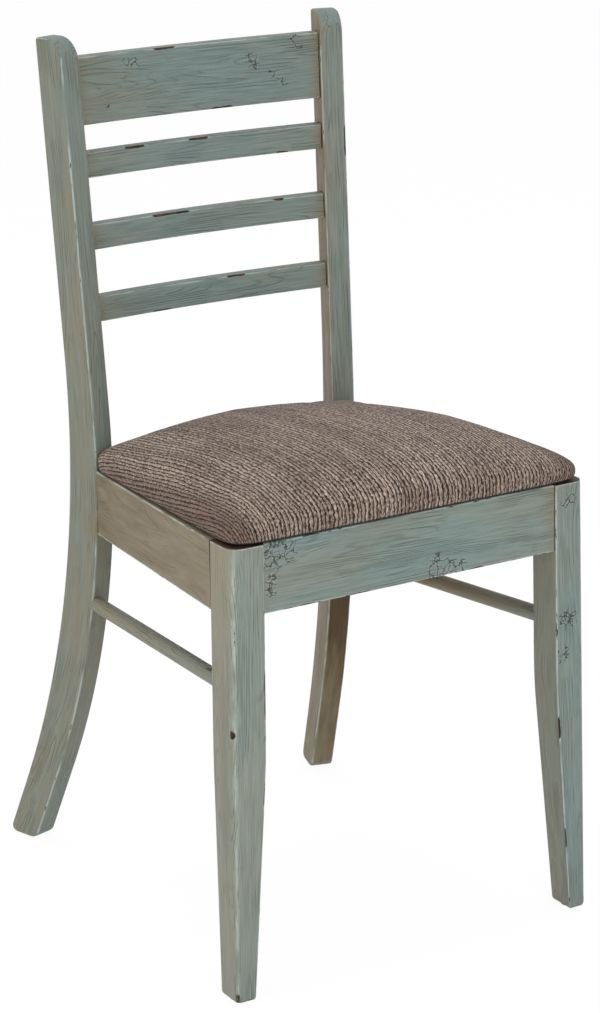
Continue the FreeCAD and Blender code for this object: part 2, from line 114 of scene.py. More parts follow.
class Signal:
    """One socket's output in a material, on which arithmetic adds Math nodes."""

    def __init__(self, graph: "Graph", socket: bpy.types.NodeSocket) -> None:
        """Wraps a socket of a graph."""
        self.graph = graph
        self.socket = socket

    def maths(self, operation: str, *values: "Signal | float") -> "Signal":
        """Adds a Math node.

        Args:
            operation: The node's operation.
            values: Its inputs in order.

        Returns:
            The node's result.
        """
        return self.graph.add("ShaderNodeMath", dict(enumerate(values)), operation=operation)

    __add__ = __radd__ = adding("ADD")
    __sub__ = adding("SUBTRACT")
    __mul__ = __rmul__ = adding("MULTIPLY")
    __truediv__ = adding("DIVIDE")
    __mod__ = adding("FLOORED_MODULO")
    __abs__ = adding("ABSOLUTE")
    floor = adding("FLOOR")
    sine = adding("SINE")
    larger = adding("MAXIMUM")

    def __rsub__(self, other: float) -> "Signal":
        """Difference from a number."""
        return self.maths("SUBTRACT", other, self)

    def rise(self, low: float, high: float) -> "Signal":
        """Smooth step.

        Args:
            low: Where the result leaves 0.
            high: Where it reaches 1, which may lie below low for a falling step.

        Returns:
            A value from 0 to 1.
        """
        ends = (high, low, 1.0, 0.0) if high < low else (low, high, 0.0, 1.0)
        sockets = dict(zip(("From Min", "From Max", "To Min", "To Max"), ends), Value=self)
        return self.graph.add("ShaderNodeMapRange", sockets, interpolation_type="SMOOTHSTEP")


class Graph:
    """The node tree of one material, or of the world, while it is wired."""

    def __init__(self, name: str, world: bool = False) -> None:
        """Starts a material or a world with no nodes."""
        self.owner = (bpy.data.worlds if world else bpy.data.materials).new(name)
        self.owner.use_nodes = True
        self.tree = self.owner.node_tree
        self.tree.nodes.clear()

    def add(
        self, kind: str, sockets: dict | None = None, output: str | int = 0, **settings: object
    ) -> Signal:
        """Adds a node.

        Args:
            kind: The node's type.
            sockets: A value or a signal for each named or numbered input.
            output: The output to hand on.
            settings: Properties of the node, set before its inputs.

        Returns:
            The chosen output.
        """
        node = self.tree.nodes.new(kind)
        for name, value in settings.items():
            setattr(node, name, value)
        for key, value in (sockets or {}).items():
            if isinstance(value, Signal):
                self.tree.links.new(value.socket, node.inputs[key])
            else:
                node.inputs[key].default_value = value
        return Signal(self, node.outputs[output])

    def mark(self, name: str, output: str = "Fac") -> Signal:
        """Reads a piece's own attribute."""
        return self.add("ShaderNodeAttribute", output=output, attribute_name=name)

    def place(self) -> Signal:
        """The piece's own coordinates, in metres."""
        return self.add("ShaderNodeTexCoord", output="Object")

    def vectors(self, operation: str, first: Signal, second: Signal | Sequence[float]) -> Signal:
        """Adds a Vector Math node."""
        return self.add("ShaderNodeVectorMath", {0: first, 1: second}, operation=operation)

    def parts(self, vector: Signal) -> tuple[Signal, Signal, Signal]:
        """The three components of a vector."""
        first = self.add("ShaderNodeSeparateXYZ", {0: vector})
        return tuple(Signal(self, output) for output in first.socket.node.outputs)

    def noise(
        self,
        vector: Signal,
        sizes: float | Sequence[float],
        detail: float = 2.0,
        rough: float = 0.5,
        output: str = "Fac",
    ) -> Signal:
        """Noise whose blobs have the given sizes.

        Args:
            vector: Coordinates in metres.
            sizes: The length of a blob, or its length along each axis, in metres.
            detail: How many finer octaves are added.
            rough: How strong they are.
            output: Whether the value or the colour is handed on.

        Returns:
            A value round 0.5, or a colour of three such values.
        """
        lengths = (sizes,) * 3 if isinstance(sizes, float) else sizes
        scaled = self.vectors("MULTIPLY", vector, [1 / length for length in lengths])
        sockets = {"Vector": scaled, "Scale": 1.0, "Detail": detail, "Roughness": rough}
        return self.add("ShaderNodeTexNoise", sockets, output)

    def blend(self, factor: Signal | float, low: Signal | Colour, high: Signal | Colour) -> Signal:
        """Mixes two colours.

        Args:
            factor: How much of the second one shows.
            low: The first colour.
            high: The second colour.

        Returns:
            The mixed colour.
        """
        colours = [c if isinstance(c, Signal) else (*c, 1.0) for c in (low, high)]
        sockets = {0: factor, 6: colours[0], 7: colours[1]}
        return self.add("ShaderNodeMix", sockets, output=2, data_type="RGBA")

    def relief(self, height: Signal, depth: float, strength: float = 1.0) -> Signal:
        """Bump from a height between 0 and 1 that stands for a depth in metres."""
        sockets = {"Height": height, "Distance": depth, "Strength": strength}
        return self.add("ShaderNodeBump", sockets, output="Normal")

    def surface(self, **sockets: object) -> Material:
        """Ends the material in a Principled shader.

        Args:
            sockets: Its inputs, with underscores for spaces.

        Returns:
            The finished material.
        """
        named = {key.replace("_", " "): value for key, value in sockets.items()}
        return self.end(self.add("ShaderNodeBsdfPrincipled", named, output="BSDF"))

    def seen(self) -> Signal:
        """1 for camera, glossy and transmission rays, and 0 for all others."""
        total = self.add("ShaderNodeLightPath", output="Is Camera Ray")
        rays = total.socket.node.outputs
        for name in ("Is Glossy Ray", "Is Transmission Ray"):
            total = total.larger(Signal(self, rays[name]))
        return total

    def end(self, shader: Signal, kind: str = "ShaderNodeOutputMaterial") -> bpy.types.ID:
        """Joins a shader to the output and hands on the finished material or world."""
        self.tree.links.new(shader.socket, self.tree.nodes.new(kind).inputs["Surface"])
        return self.owner


# Finishes


@dataclass(frozen=True)
class ChalkPaint:
    """Rubbed and glazed blue-green paint over dark wood.

    It reads these marks of a piece: grain, its place along the wood; wear, 1 on an edge, which on
    the front legs' rounded corner also carries a painted highlight; glaze, a tan wash that turns
    brown and, past 1, dark as an open joint, and which in places also carries painted shade and a
    painted warm tone for side light; bare, where wood shows; crackle, where the paint has lifted.
    """

    name: str = "chalk_paint"
    cool: Colour = (0.220, 0.304, 0.288)
    warm: Colour = (0.253, 0.294, 0.248)
    tan: Colour = (0.285, 0.222, 0.126)
    # Dark brown of deep glaze, also used as painted shade under the seat
    glaze_and_shade: Colour = (0.100, 0.060, 0.026)
    # Pale of rubbed paint, also used as a painted highlight along the edges
    pale: Colour = (0.54, 0.62, 0.58)
    wood: Colour = (0.165, 0.052, 0.018)
    dark: Colour = (0.016, 0.012, 0.010)
    rings: float = 34
    cracks: tuple[float, float, float] = (130, 130, 105)
    depth: float = 2 * MM

    def material(self) -> Material:
        """Wires the paint."""
        g = Graph(self.name)
        grain = g.mark("grain", "Vector")
        wear, glaze_and_shade, bare, crackle = (g.mark(n) for n in ("wear", "glaze_and_shade", "bare", "crackle"))

        broad = g.noise(grain, (0.05, 0.05, 0.14), 3)
        soft = g.noise(grain, (0.009, 0.009, 0.05), 3)
        streak = g.noise(grain, (0.0014, 0.0014, 0.045), 4, 0.60)
        rings = g.noise(grain, (0.036, 0.036, 0.45), 2, 0.35) * self.rings
        patches = g.noise(grain, (0.02, 0.02, 0.06), 3)
        line = abs(rings % 1.0 - 0.5).rise(0.38, 0.48) * patches.rise(0.44, 0.58)

        shift = g.noise(grain, 0.006, 2, 0.6, "Color")
        bent = g.vectors("ADD", grain, g.vectors("MULTIPLY", shift, [9 * MM] * 3))
        sockets = {"Vector": g.vectors("MULTIPLY", bent, self.cracks), "Scale": 1.0}
        cells = g.add("ShaderNodeTexVoronoi", sockets, "Distance", feature="DISTANCE_TO_EDGE")
        lifted = (crackle + g.noise(grain, (0.009, 0.009, 0.012), 2) - 0.5).rise(0.44, 0.54)
        squiggle = cells.rise(0.060, 0.020) * lifted * 0.85
        halo = cells.rise(0.16, 0.08) * lifted * 0.6

        ragged = g.noise(grain, (0.0018, 0.0018, 0.012), 4, 0.6)
        run = g.noise(grain, 0.045, 2) + bare * 0.4
        # Pale along the edges: rubbed paint, and in part a painted highlight on the eased edges
        rubbed_and_highlight = (wear + ragged * 0.4 - 0.2).rise(0.62, 0.88) * run.rise(0.34, 0.56)
        chip = (wear + ragged * 1.6 - 0.8).rise(0.98, 1.05) * run.rise(0.55, 0.59)
        showing = (bare + wear * 0.8 + ragged * 0.8).rise(1.72, 1.80)
        missing = squiggle.larger(chip)

        tone = g.blend(broad.rise(0.36, 0.70), self.cool, self.warm)
        fine = (streak - 0.5) * 2.4 + 0.5
        tone = g.blend(fine, g.blend(0.20, tone, (0, 0, 0)), g.blend(0.10, tone, (1, 1, 1)))
        # The glaze mark lays tan, then dark brown, over the paint; where the mark carries painted
        # shade or painted warm side light, so do these colours
        wash = glaze_and_shade + (soft - 0.5) * 0.5 * glaze_and_shade.rise(0.0, 0.2)
        tone = g.blend(wash.rise(0.0, 0.8) * 0.85, tone, self.tan)
        tone = g.blend(wash.rise(0.7, 1.15), tone, self.glaze_and_shade)
        lined = line * wash.rise(0.7, 0.2) * 0.40
        for factor, colour in (
            (lined, g.blend(0.5, tone, self.dark)),
            (rubbed_and_highlight * 0.80, self.pale),
            (halo * 0.35, self.pale),
            # Near black in chips, in open joints, and as painted shade where it is deepest under
            # the seat
            (missing.larger(glaze_and_shade.rise(1.3, 1.7)) * 0.92, self.dark),
            (showing, g.blend(ragged.rise(0.50, 0.60), self.dark, self.wood)),
        ):
            tone = g.blend(factor, tone, colour)

        height = streak * 0.55 + (1 - line) * 0.35 - missing.larger(showing) * 0.6
        return g.surface(
            Base_Color=tone,
            Roughness=streak * 0.12 + 0.40 + missing * 0.25,
            Specular_IOR_Level=0.22,
            Normal=g.relief(height, self.depth, 0.9),
        )


@dataclass(frozen=True)
class Chenille:
    """Ribbed striped chenille, which reads each point's place on the flat cloth and its height; its
    sides and its foot carry painted shade.
    """

    rib: float = 4.3 * MM
    light: Colour = (0.74, 0.595, 0.50)
    tan: Colour = (0.46, 0.345, 0.275)
    brown: Colour = (0.150, 0.085, 0.061)
    dark: Colour = (0.010, 0.005, 0.004)
    # Height of the painted shadow at the foot of the pad
    shadow_band: float = 2.4 * MM
    depth: float = 1.8 * MM

    def material(self) -> Material:
        """Wires the cloth."""
        g = Graph("striped_chenille")
        cloth = g.mark("cloth", "Vector")
        across, _, height = g.parts(cloth)
        drift = g.noise(cloth, (0.016, 0.11, 1.0)) - 0.5
        wobble = g.noise(cloth, (0.004, 0.010, 1.0), 3, 0.6) - 0.5
        count = across / self.rib + drift * 1.6 + wobble * 0.75
        number = count.floor()
        inside = count - number
        swell = (inside * math.pi).sine()

        pick, other = (
            g.add("ShaderNodeTexWhiteNoise", {"W": w}, noise_dimensions="1D")
            for w in (number, number + 0.37)
        )
        slub = g.noise(cloth, (0.0018, 0.011, 1.0), 3, 0.6)
        dash = g.noise(cloth, (0.0013, 0.0042, 1.0), 2, 0.6)
        fuzz = g.noise(cloth, (0.0009, 0.0012, 1.0), 2, 0.6)
        mottle = g.noise(cloth, (0.05, 0.09, 1.0))

        kind = pick * 0.28 + slub * 1.5 - 0.32
        valley = (swell + (dash - 0.5) * 1.9).rise(0.72, 0.38)
        split = abs(inside - 0.5 - (other - 0.5) * 0.4).rise(0.09, 0.02) * other.rise(0.35, 0.55)
        yarn = g.blend(kind.rise(0.18, 0.42), self.brown, self.tan)
        for factor, colour in (
            (kind.rise(0.36, 0.70), self.light),
            (mottle.rise(0.45, 0.65) * 0.30, self.brown),
            (dash.rise(0.60, 0.40) * 0.70, self.brown),
            (dash.rise(0.56, 0.68) * 0.80, self.light),
            # Painted shade on the sides of the pad
            (abs(across).rise(0.165, 0.198) * 0.62, self.brown),
            # Painted shade, browner towards the foot of the pad
            (height.rise(0.034, 0.006) * 0.24, self.brown),
            (valley.larger(split * 0.6) * 0.94, self.dark),
            # Painted shadow: a near-black band at the foot, where the pad meets the frame
            (height.rise(self.shadow_band, self.shadow_band * 0.5), self.dark),
        ):
            yarn = g.blend(factor, yarn, colour)

        return g.surface(
            Base_Color=yarn,
            Roughness=0.93,
            Specular_IOR_Level=0.2,
            Sheen_Weight=0.12,
            Sheen_Roughness=0.5,
            Normal=g.relief(swell * 0.6 + slub * 0.3 + dash * 0.4 + fuzz * 0.3, self.depth, 0.9),
        )


@dataclass(frozen=True)
class Timber:
    """Unpainted wood with its grain along one axis of the chair."""

    name: str
    light: Colour
    dark: Colour
    axis: int = 0

    def material(self) -> Material:
        """Wires the wood."""
        g = Graph(self.name)
        place = g.place()
        figure, pores = (
            g.noise(place, [long if k == self.axis else wide for k in range(3)], detail, 0.6)
            for wide, long, detail in ((0.005, 0.12, 4), (0.0009, 0.02, 3))
        )
        tone = g.blend(figure.rise(0.35, 0.65), self.light, self.dark)
        return g.surface(
            Base_Color=g.blend(pores.rise(0.56, 0.70) * 0.5, tone, self.dark),
            Roughness=figure * 0.15 + 0.54,
            Normal=g.relief(figure * 0.4 + pores * 0.6, 0.4 * MM, 0.5),
        )


@dataclass(frozen=True)
class Plies:
    """Plywood: pale faces, and thin layers of changing colour through its thickness."""

    light: Colour = (0.52, 0.36, 0.20)
    dark: Colour = (0.30, 0.18, 0.09)
    ply: float = 1.8 * MM

    def material(self) -> Material:
        """Wires the board."""
        g = Graph("plywood")
        place = g.place()
        layer = abs((g.parts(place)[2] / self.ply) % 2.0 - 1.0).rise(0.4, 0.6)
        figure = g.noise(place, (0.006, 0.09, 0.006), 4)
        return g.surface(
            Base_Color=g.blend(layer * 0.5 + figure.rise(0.4, 0.7) * 0.5, self.light, self.dark),
            Roughness=figure * 0.2 + 0.6,
            Normal=g.relief(figure, 0.3 * MM, 0.4),
        )


@dataclass(frozen=True)
class Lining:
    """Thin black dust cloth of pressed fibres."""

    colour: Colour = (0.020, 0.020, 0.022)
    fibre: Colour = (0.055, 0.054, 0.056)

    def material(self) -> Material:
        """Wires the cloth."""
        g = Graph("dust_lining")
        place = g.place()
        fibres = g.noise(place, (0.0010, 0.0042, 0.002), 4, 0.7)
        dimples = g.noise(place, (0.0026, 0.0026, 0.002), 1)
        return g.surface(
            Base_Color=g.blend(fibres.rise(0.48, 0.68), self.colour, self.fibre),
            Roughness=0.9,
            Normal=g.relief(fibres + dimples, 0.4 * MM, 0.6),
        )


@dataclass(frozen=True)
class Metal:
    """Bright or dull metal of the fasteners."""

    name: str
    colour: Colour
    rough: float
    worn: Colour = (0.10, 0.09, 0.08)

    def material(self) -> Material:
        """Wires the metal."""
        g = Graph(self.name)
        wear = g.noise(g.place(), 3 * MM, 3, 0.6)
        tone = g.blend(wear.rise(0.35, 0.7) * 0.4, self.colour, self.worn)
        return g.surface(Base_Color=tone, Metallic=1.0, Roughness=wear * 0.25 + self.rough)


@dataclass(frozen=True)
class Nylon:
    """Dark moulded plastic of the glides."""

    colour: Colour = (0.030, 0.026, 0.022)
    scuffed: Colour = (0.10, 0.09, 0.08)

    def material(self) -> Material:
        """Wires the plastic."""
        g = Graph("glide_nylon")
        scuff = g.noise(g.place(), 1.5 * MM, 3, 0.6)
        return g.surface(
            Base_Color=g.blend(scuff.rise(0.5, 0.75) * 0.5, self.colour, self.scuffed),
            Roughness=scuff * 0.3 + 0.4,
            Normal=g.relief(scuff, 0.1 * MM, 0.4),
        )


# Objects


def linked(name: str, data: bpy.types.ID, matrix: Matrix | None = None) -> Object:
    """Puts an object into the scene."""
    obj = bpy.data.objects.new(name, data)
    obj.matrix_world = matrix or Matrix()
    bpy.context.scene.collection.objects.link(obj)
    return obj


def solid(bm: bmesh.types.BMesh, name: str, materials: Sequence[Material]) -> Object:
    """Makes an object from a mesh, which is freed."""
    mesh = bpy.data.meshes.new(name)
    bm.to_mesh(mesh)
    bm.free()
    for material in materials:
        mesh.materials.append(material)
    return linked(name, mesh)


def declared(obj: Object, slot: Slot, nodes: Sequence[str]) -> Object:
    """Args:
        obj: The piece.
        slot: The record's material slot; not used.
        nodes: The CAD nodes that it replaces.

    Returns:
        The piece.
    """
    smooth(obj)
    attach(obj, "root")
    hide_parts(*nodes)
    LOG.info("%s: %d faces", obj.name, len(obj.data.polygons))
    return obj


def smooth(obj: Object) -> None:
    """Shades every face smooth."""
    obj.data.polygons.foreach_set("use_smooth", [True] * len(obj.data.polygons))


def row(x: float, y: float, z: float) -> Vector:
    """A place given from the front faces of the front legs, in the chair's own frame."""
    return Vector((x, y + LEG_FRONT_Y, z))


# The bench


@dataclass(frozen=True)
class Bend:
    """A line in side view that runs straight, turns through one arc and runs straight again.

    It is given by its place at three heights; at the middle one the straight runs would meet.
    """

    heights: tuple[float, float, float]
    places: tuple[float, float, float]
    radius: float

    def at(self, height: float) -> float:
        """The line's place at a height."""
        (z0, z1, z2), (s0, s1, s2) = self.heights, self.places
        low, high = math.atan2(s1 - s0, z1 - z0), math.atan2(s2 - s1, z2 - z1)
        side = math.copysign(1.0, high - low)
        reach = side * self.radius / math.cos((high - low) / 2)
        centre_z = z1 - reach * math.sin((low + high) / 2)
        if height <= centre_z + side * self.radius * math.sin(low):
            return s1 - (z1 - height) * math.tan(low)
        if height >= centre_z + side * self.radius * math.sin(high):
            return s1 + (height - z1) * math.tan(high)
        centre_s = s1 + reach * math.cos((low + high) / 2)
        return centre_s - side * math.sqrt(self.radius**2 - (height - centre_z) ** 2)


class Workpiece:
    """A piece on the bench: a squared bar, one corner at the origin, worked and put in place."""

    def __init__(self, node: str, size: Sequence[float], along: int) -> None:
        """Saws the bar.

        Args:
            node: The CAD node that it replaces.
            size: Its three lengths.
            along: The axis of its grain.
        """
        self.node = node
        self.size = Vector(size)
        self.along = along
        self.bm = bmesh.new()
        layers = self.bm.verts.layers
        self.grain = layers.float_vector.new("grain")
        marks = [layers.float.new(name) for name in ("wear", "glaze_and_shade", "bare", "crackle")]
        self.wear, self.glaze_and_shade, self.bare, self.crackle = marks
        bmesh.ops.create_cube(self.bm, size=1)
        bmesh.ops.scale(self.bm, vec=self.size, verts=self.bm.verts)
        bmesh.ops.translate(self.bm, vec=self.size / 2, verts=self.bm.verts)
        self.arrises = self.sample_edges(1.5 * MM)

    def sample_edges(self, step: float) -> list[Vector]:
        """Points along every sharp edge, a step apart."""
        points = []
        for edge in self.bm.edges:
            start, end = (v.co.copy() for v in edge.verts)
            count = max(1, round((end - start).length / step))
            points += [start.lerp(end, k / count) for k in range(count + 1)]
        return points

    def ease(self, radius: float, wanted: Wanted, segments: int = 3) -> None:
        """Rounds edges.

        Args:
            radius: How far the rounding reaches on each face.
            wanted: Tells from an edge's two ends whether it is one of them.
            segments: How many flats make the round.
        """
        edges = [e for e in self.bm.edges if wanted(e.verts[0].co, e.verts[1].co)]
        bmesh.ops.bevel(
            self.bm, geom=edges, offset=radius, offset_type="OFFSET", segments=segments,
            profile=0.5, affect="EDGES", clamp_overlap=False, material=-1,
        )

    def cut(self, point: Vector, normal: Vector, saw: bool = False) -> list[object]:
        """Adds a loop where a plane meets the piece.

        Args:
            point: A point on the plane.
            normal: The direction square to it.
            saw: Whether what lies behind it goes.

        Returns:
            The vertices and edges of the loop.
        """
        geom = [*self.bm.verts, *self.bm.edges, *self.bm.faces]
        loop = bmesh.ops.bisect_plane(
            self.bm, geom=geom, dist=CLOSE, plane_co=point, plane_no=normal, clear_inner=saw
        )
        return loop["geom_cut"]

    def divide(self, axis: int, places: Iterable[float]) -> None:
        """Adds loops across an axis at the given places."""
        normal = Vector([float(axis == k) for k in range(3)])
        for place in places:
            self.cut(normal * place, normal)

    def divide_all(self, step: float = 9 * MM, near_corner: bool = False) -> None:
        """Adds loops near the edges of all faces and evenly between them, and then the marks.

        Args:
            step: The distance of the even loops.
            near_corner: Whether one more loop lies very near each edge.
        """
        margins = ([1 * MM] if near_corner else []) + [4 * MM, 8 * MM]
        for axis, length in enumerate(self.size):
            near = [m for m in margins if m < length / 2 - MM]
            count = max(1, round(length / step))
            even = [length * k / count for k in range(1, count)]
            inner = [p for p in even if margins[-1] + MM < p < length - margins[-1] - MM]
            self.divide(axis, sorted([*near, *(length - m for m in near), *inner]))
        self.mark()

    def mark(self, reach: float = 2.6 * MM, slack: float = 0.8 * MM) -> None:
        """Marks the grain and, by the distance to the sharp edges, the wear."""
        tree = KDTree(len(self.arrises))
        for k, point in enumerate(self.arrises):
            tree.insert(point, k)
        tree.balance()
        order = [(self.along + k) % 3 for k in (1, 2, 0)]
        offset = Vector((0.37, 0.61, 0.83)) * (PAINTED.index(self.node) + 1)
        for v in self.bm.verts:
            v[self.grain] = Vector([v.co[k] for k in order]) + offset
            v[self.wear] = max(0.0, 1 - max(0.0, tree.find(v.co)[2] - slack) / reach)

    def shape(self, place: Place) -> None:
        """Moves every vertex to its place."""
        for v in self.bm.verts:
            v.co = place(v.co)

    def trim(self, point: Vector, keep: Vector) -> list[bmesh.types.BMVert]:
        """Saws off what lies behind a plane.

        Args:
            point: A point on the plane.
            keep: The direction of what is kept.

        Returns:
            The vertices of the sawn face.
        """
        loop = self.cut(point, keep, saw=True)
        edges = [e for e in loop if isinstance(e, bmesh.types.BMEdge)]
        bmesh.ops.holes_fill(self.bm, edges=edges, sides=0)
        return [v for v in loop if isinstance(v, bmesh.types.BMVert)]

    def seam(
        self, point: Vector, keep: Vector, reach: float, strength: float, gap: float = 1.2 * MM
    ) -> None:
        """Lets glaze gather along a joint and darkens the joint itself.

        Args:
            point: A point on the plane of the joint.
            keep: The direction of the piece.
            reach: How far the glaze spreads.
            strength: The glaze beside the joint.
            gap: How far the dark of the joint spreads.
        """
        for away in (gap * 0.5, gap, gap * 3, reach * 0.5, reach):
            self.cut(point + keep * away, keep)
        for v in self.bm.verts:
            away = abs((v.co - point).dot(keep))
            wash = strength * max(0.0, 1 - away / reach) ** 1.5
            v[self.glaze_and_shade] = max(v[self.glaze_and_shade], wash, 2.4 * (1 - away / gap))
            v[self.wear] = max(v[self.wear], 1 - abs(away - gap * 1.2) / gap)

    def gather(self, layer: object, spots: Spots, strength: float, flat: float = 1.0) -> None:
        """Raises a mark round some spots.

        Args:
            layer: The mark.
            spots: The middle of each spot, and its radius in mm.
            strength: How far the mark rises.
            flat: How steeply it rises from its rim; past 1 its middle is flat.
        """
        for middle, radius in spots:
            for v in self.bm.verts:
                share = min(1.0, flat * (1 - (v.co - middle).length / (radius * MM)))
                v[layer] = max(v[layer], strength * share) if share > 0 else v[layer]

    def wash(self, rule: Callable[[Vector, Vector], float]) -> None:
        """Raises the glaze all over, and the painted shade and painted side tone that the same mark
        carries.

        Args:
            rule: Gives the glaze and painted shade from a place and the direction that the surface
                faces there.
        """
        bmesh.ops.recalc_face_normals(self.bm, faces=self.bm.faces)
        self.bm.normal_update()
        for v in self.bm.verts:
            v[self.glaze_and_shade] = max(v[self.glaze_and_shade], rule(v.co, v.normal))

    def finish(self, *materials: Material) -> Object:
        """Takes the piece off the bench; a right one has been worked as a left one until here."""
        if self.node.endswith(Side.RIGHT.value):
            bmesh.ops.scale(self.bm, vec=(-1, 1, 1), verts=self.bm.verts)
            bmesh.ops.reverse_faces(self.bm, faces=self.bm.faces)
        bmesh.ops.remove_doubles(self.bm, verts=self.bm.verts, dist=CLOSE)
        bmesh.ops.recalc_face_normals(self.bm, faces=self.bm.faces)
        piece = solid(self.bm, "painted_" + self.node, materials)
        return declared(piece, Slot.PAINT, (self.node,))


# The chair's frame


@dataclass(frozen=True)
class SeatPlane:
    """The sloping top of the seat frame."""

    top: float = 447 * MM
    drop: float = 16.6 * MM
    start: float = 39.7 * MM
    end: float = 345.9 * MM

    @property
    def slope(self) -> float:
        """How far it falls for each metre towards the back."""
        return self.drop / (self.end - self.start)

    def height(self, depth: float) -> float:
        """Its height at a depth from the front."""
        return self.top - self.slope * (depth - self.start)


@dataclass(frozen=True)
class FrontLegs:
    """The two square front legs, tapered below and with one large rounded corner."""

    seat: SeatPlane
    half_width: float = 196.3 * MM
    splay: float = 5.8 * MM
    width: float = 34.9 * MM
    depth: float = 39.7 * MM
    foot_width: float = 20.3 * MM
    foot_depth: float = 30.5 * MM
    taper_height: float = 239 * MM
    taper_radius: float = 900 * MM
    corner: float = 13 * MM
    corner_foot: float = 6 * MM
    eased: float = 2 * MM
    eased_top: float = 1.2 * MM
    eased_foot: float = 4 * MM
    foot: float = 1 * MM
    apron: float = 67 * MM
    cracks: Rows = ((-0.1757, 0.430, 13), (-0.177, 0.310, 15), (-0.174, 0.275, 12))

    def outer(self, z: float) -> float:
        """How far the outer face stands from the middle at a height."""
        return self.half_width + self.splay * (self.seat.top - z) / self.seat.top

    def tapered(self, places: tuple[float, float, float], z: float) -> float:
        """The place at a height of a line that is given at the foot, the taper and the top."""
        heights = (self.foot, self.taper_height, self.seat.top)
        return Bend(heights, places, self.taper_radius).at(z)

    def inner(self, z: float) -> float:
        """How far the inner face stands from the middle at a height."""
        foot = self.outer(self.foot) - self.foot_width
        upper = (self.outer(h) - self.width for h in (self.taper_height, self.seat.top))
        return self.tapered((foot, *upper), z)

    def place(self, co: Vector) -> Vector:
        """Where a point of the squared left leg comes to stand.

        Args:
            co: Its distance from the outer and the front face, and its height above the foot.

        Returns:
            Its place in the chair.
        """
        z = co.z + self.foot
        share = (z - self.foot) / (self.seat.top - self.foot)
        corner = self.corner_foot + (self.corner - self.corner_foot) * share

        def drawn(s: float, full: float, wanted: float) -> float:
            if s <= self.corner:
                return s * corner / self.corner
            return corner + (s - self.corner) * (wanted - corner) / (full - self.corner)

        outer = self.outer(z)
        back = self.tapered((self.foot_depth, self.depth, self.depth), z)
        x = drawn(co.x, self.width, outer - self.inner(z)) - outer
        return row(x, drawn(co.y, self.depth, back), z)

    def make(self, side: Side, paint: Material, wood: Material) -> Object:
        """Makes one leg."""
        top = self.seat.top
        height = top - self.foot
        leg = Workpiece(f"front_leg_{side.value}", (self.width, self.depth, height), 2)

        def tall(a: Vector, b: Vector) -> bool:
            return abs(a.z - b.z) > height / 2

        def far(a: Vector) -> bool:
            return a.x > self.width - MM or a.y > self.depth - MM

        leg.ease(self.corner, lambda a, b: tall(a, b) and a.x < MM and a.y < MM, 7)
        leg.ease(self.eased, lambda a, b: tall(a, b) and far(a))
        leg.ease(self.eased_top, lambda a, b: min(a.z, b.z) > height - MM, 2)
        leg.ease(self.eased_foot, lambda a, b: max(a.z, b.z) < MM, 4)
        leg.divide_all(near_corner=True)
        # A pale strip down the middle of the rounded corner: a painted highlight, with some rubbed
        # paint
        for v in leg.bm.verts:
            if MM < v.co.x < self.corner - MM and MM < v.co.y < self.corner - MM:
                v[leg.wear] = max(v[leg.wear], 0.80 - 0.35 * abs(v.co.x - v.co.y) / self.corner)
        leg.shape(self.place)

        # Glaze on the side faces, heavier higher up: in part a real wash, in part a painted warm
        # tone and painted shade for the light from the sides
        def washed_and_shaded(co: Vector, normal: Vector) -> float:
            share = co.z / top
            outer = max(0.0, -normal.x) ** 2 * (0.30 + 0.26 * share**3)
            inner = max(0.0, normal.x) ** 2 * (0.34 + 0.5 * share**8)
            return max(outer, inner, 0.22 * share**10)

        leg.wash(washed_and_shaded)
        joint = row(-self.inner(top), self.depth, top - self.apron)
        leg.gather(leg.glaze_and_shade, [(joint, 26)], 0.9)
        joint.y = LEG_FRONT_Y
        bare = leg.bare
        if side is Side.LEFT:
            spots = [(row(-self.inner(z), 0, z), r) for z, r in ((0.305, 34), (0.207, 20))]
            leg.gather(bare, spots, 0.75, 3)
            leg.gather(bare, [(row(-0.2014, 4 * MM, 0.271), 9)], 1.55, 2)
            leg.gather(bare, [(joint - Vector((0, 0, z)), 40) for z in (0.02, 0.10)], 0.5)
        else:
            leg.gather(leg.crackle, [(row(x, 0, z), r) for x, z, r in self.cracks], 1.0, 2)
            leg.gather(bare, [(joint - Vector((0, 0, z)), 45) for z in (-0.03, 0.03)], 0.5)
            leg.gather(bare, [(row(-self.outer(z), 0, z), 30) for z in (0.33, 0.10)], 0.45)
            leg.gather(bare, [(row(-self.inner(z), 0, z), 17) for z in (0.200, 0.078)], 0.85, 3)
        leg.gather(bare, [(row(0.007 - self.outer(0), 0, 3 * MM), 20)], 0.8, 2)
        for face in leg.bm.faces:
            if face.normal.z > 0.7 and face.calc_center_median().z > top - 2 * MM:
                face.material_index = 1
        return leg.finish(paint, wood)


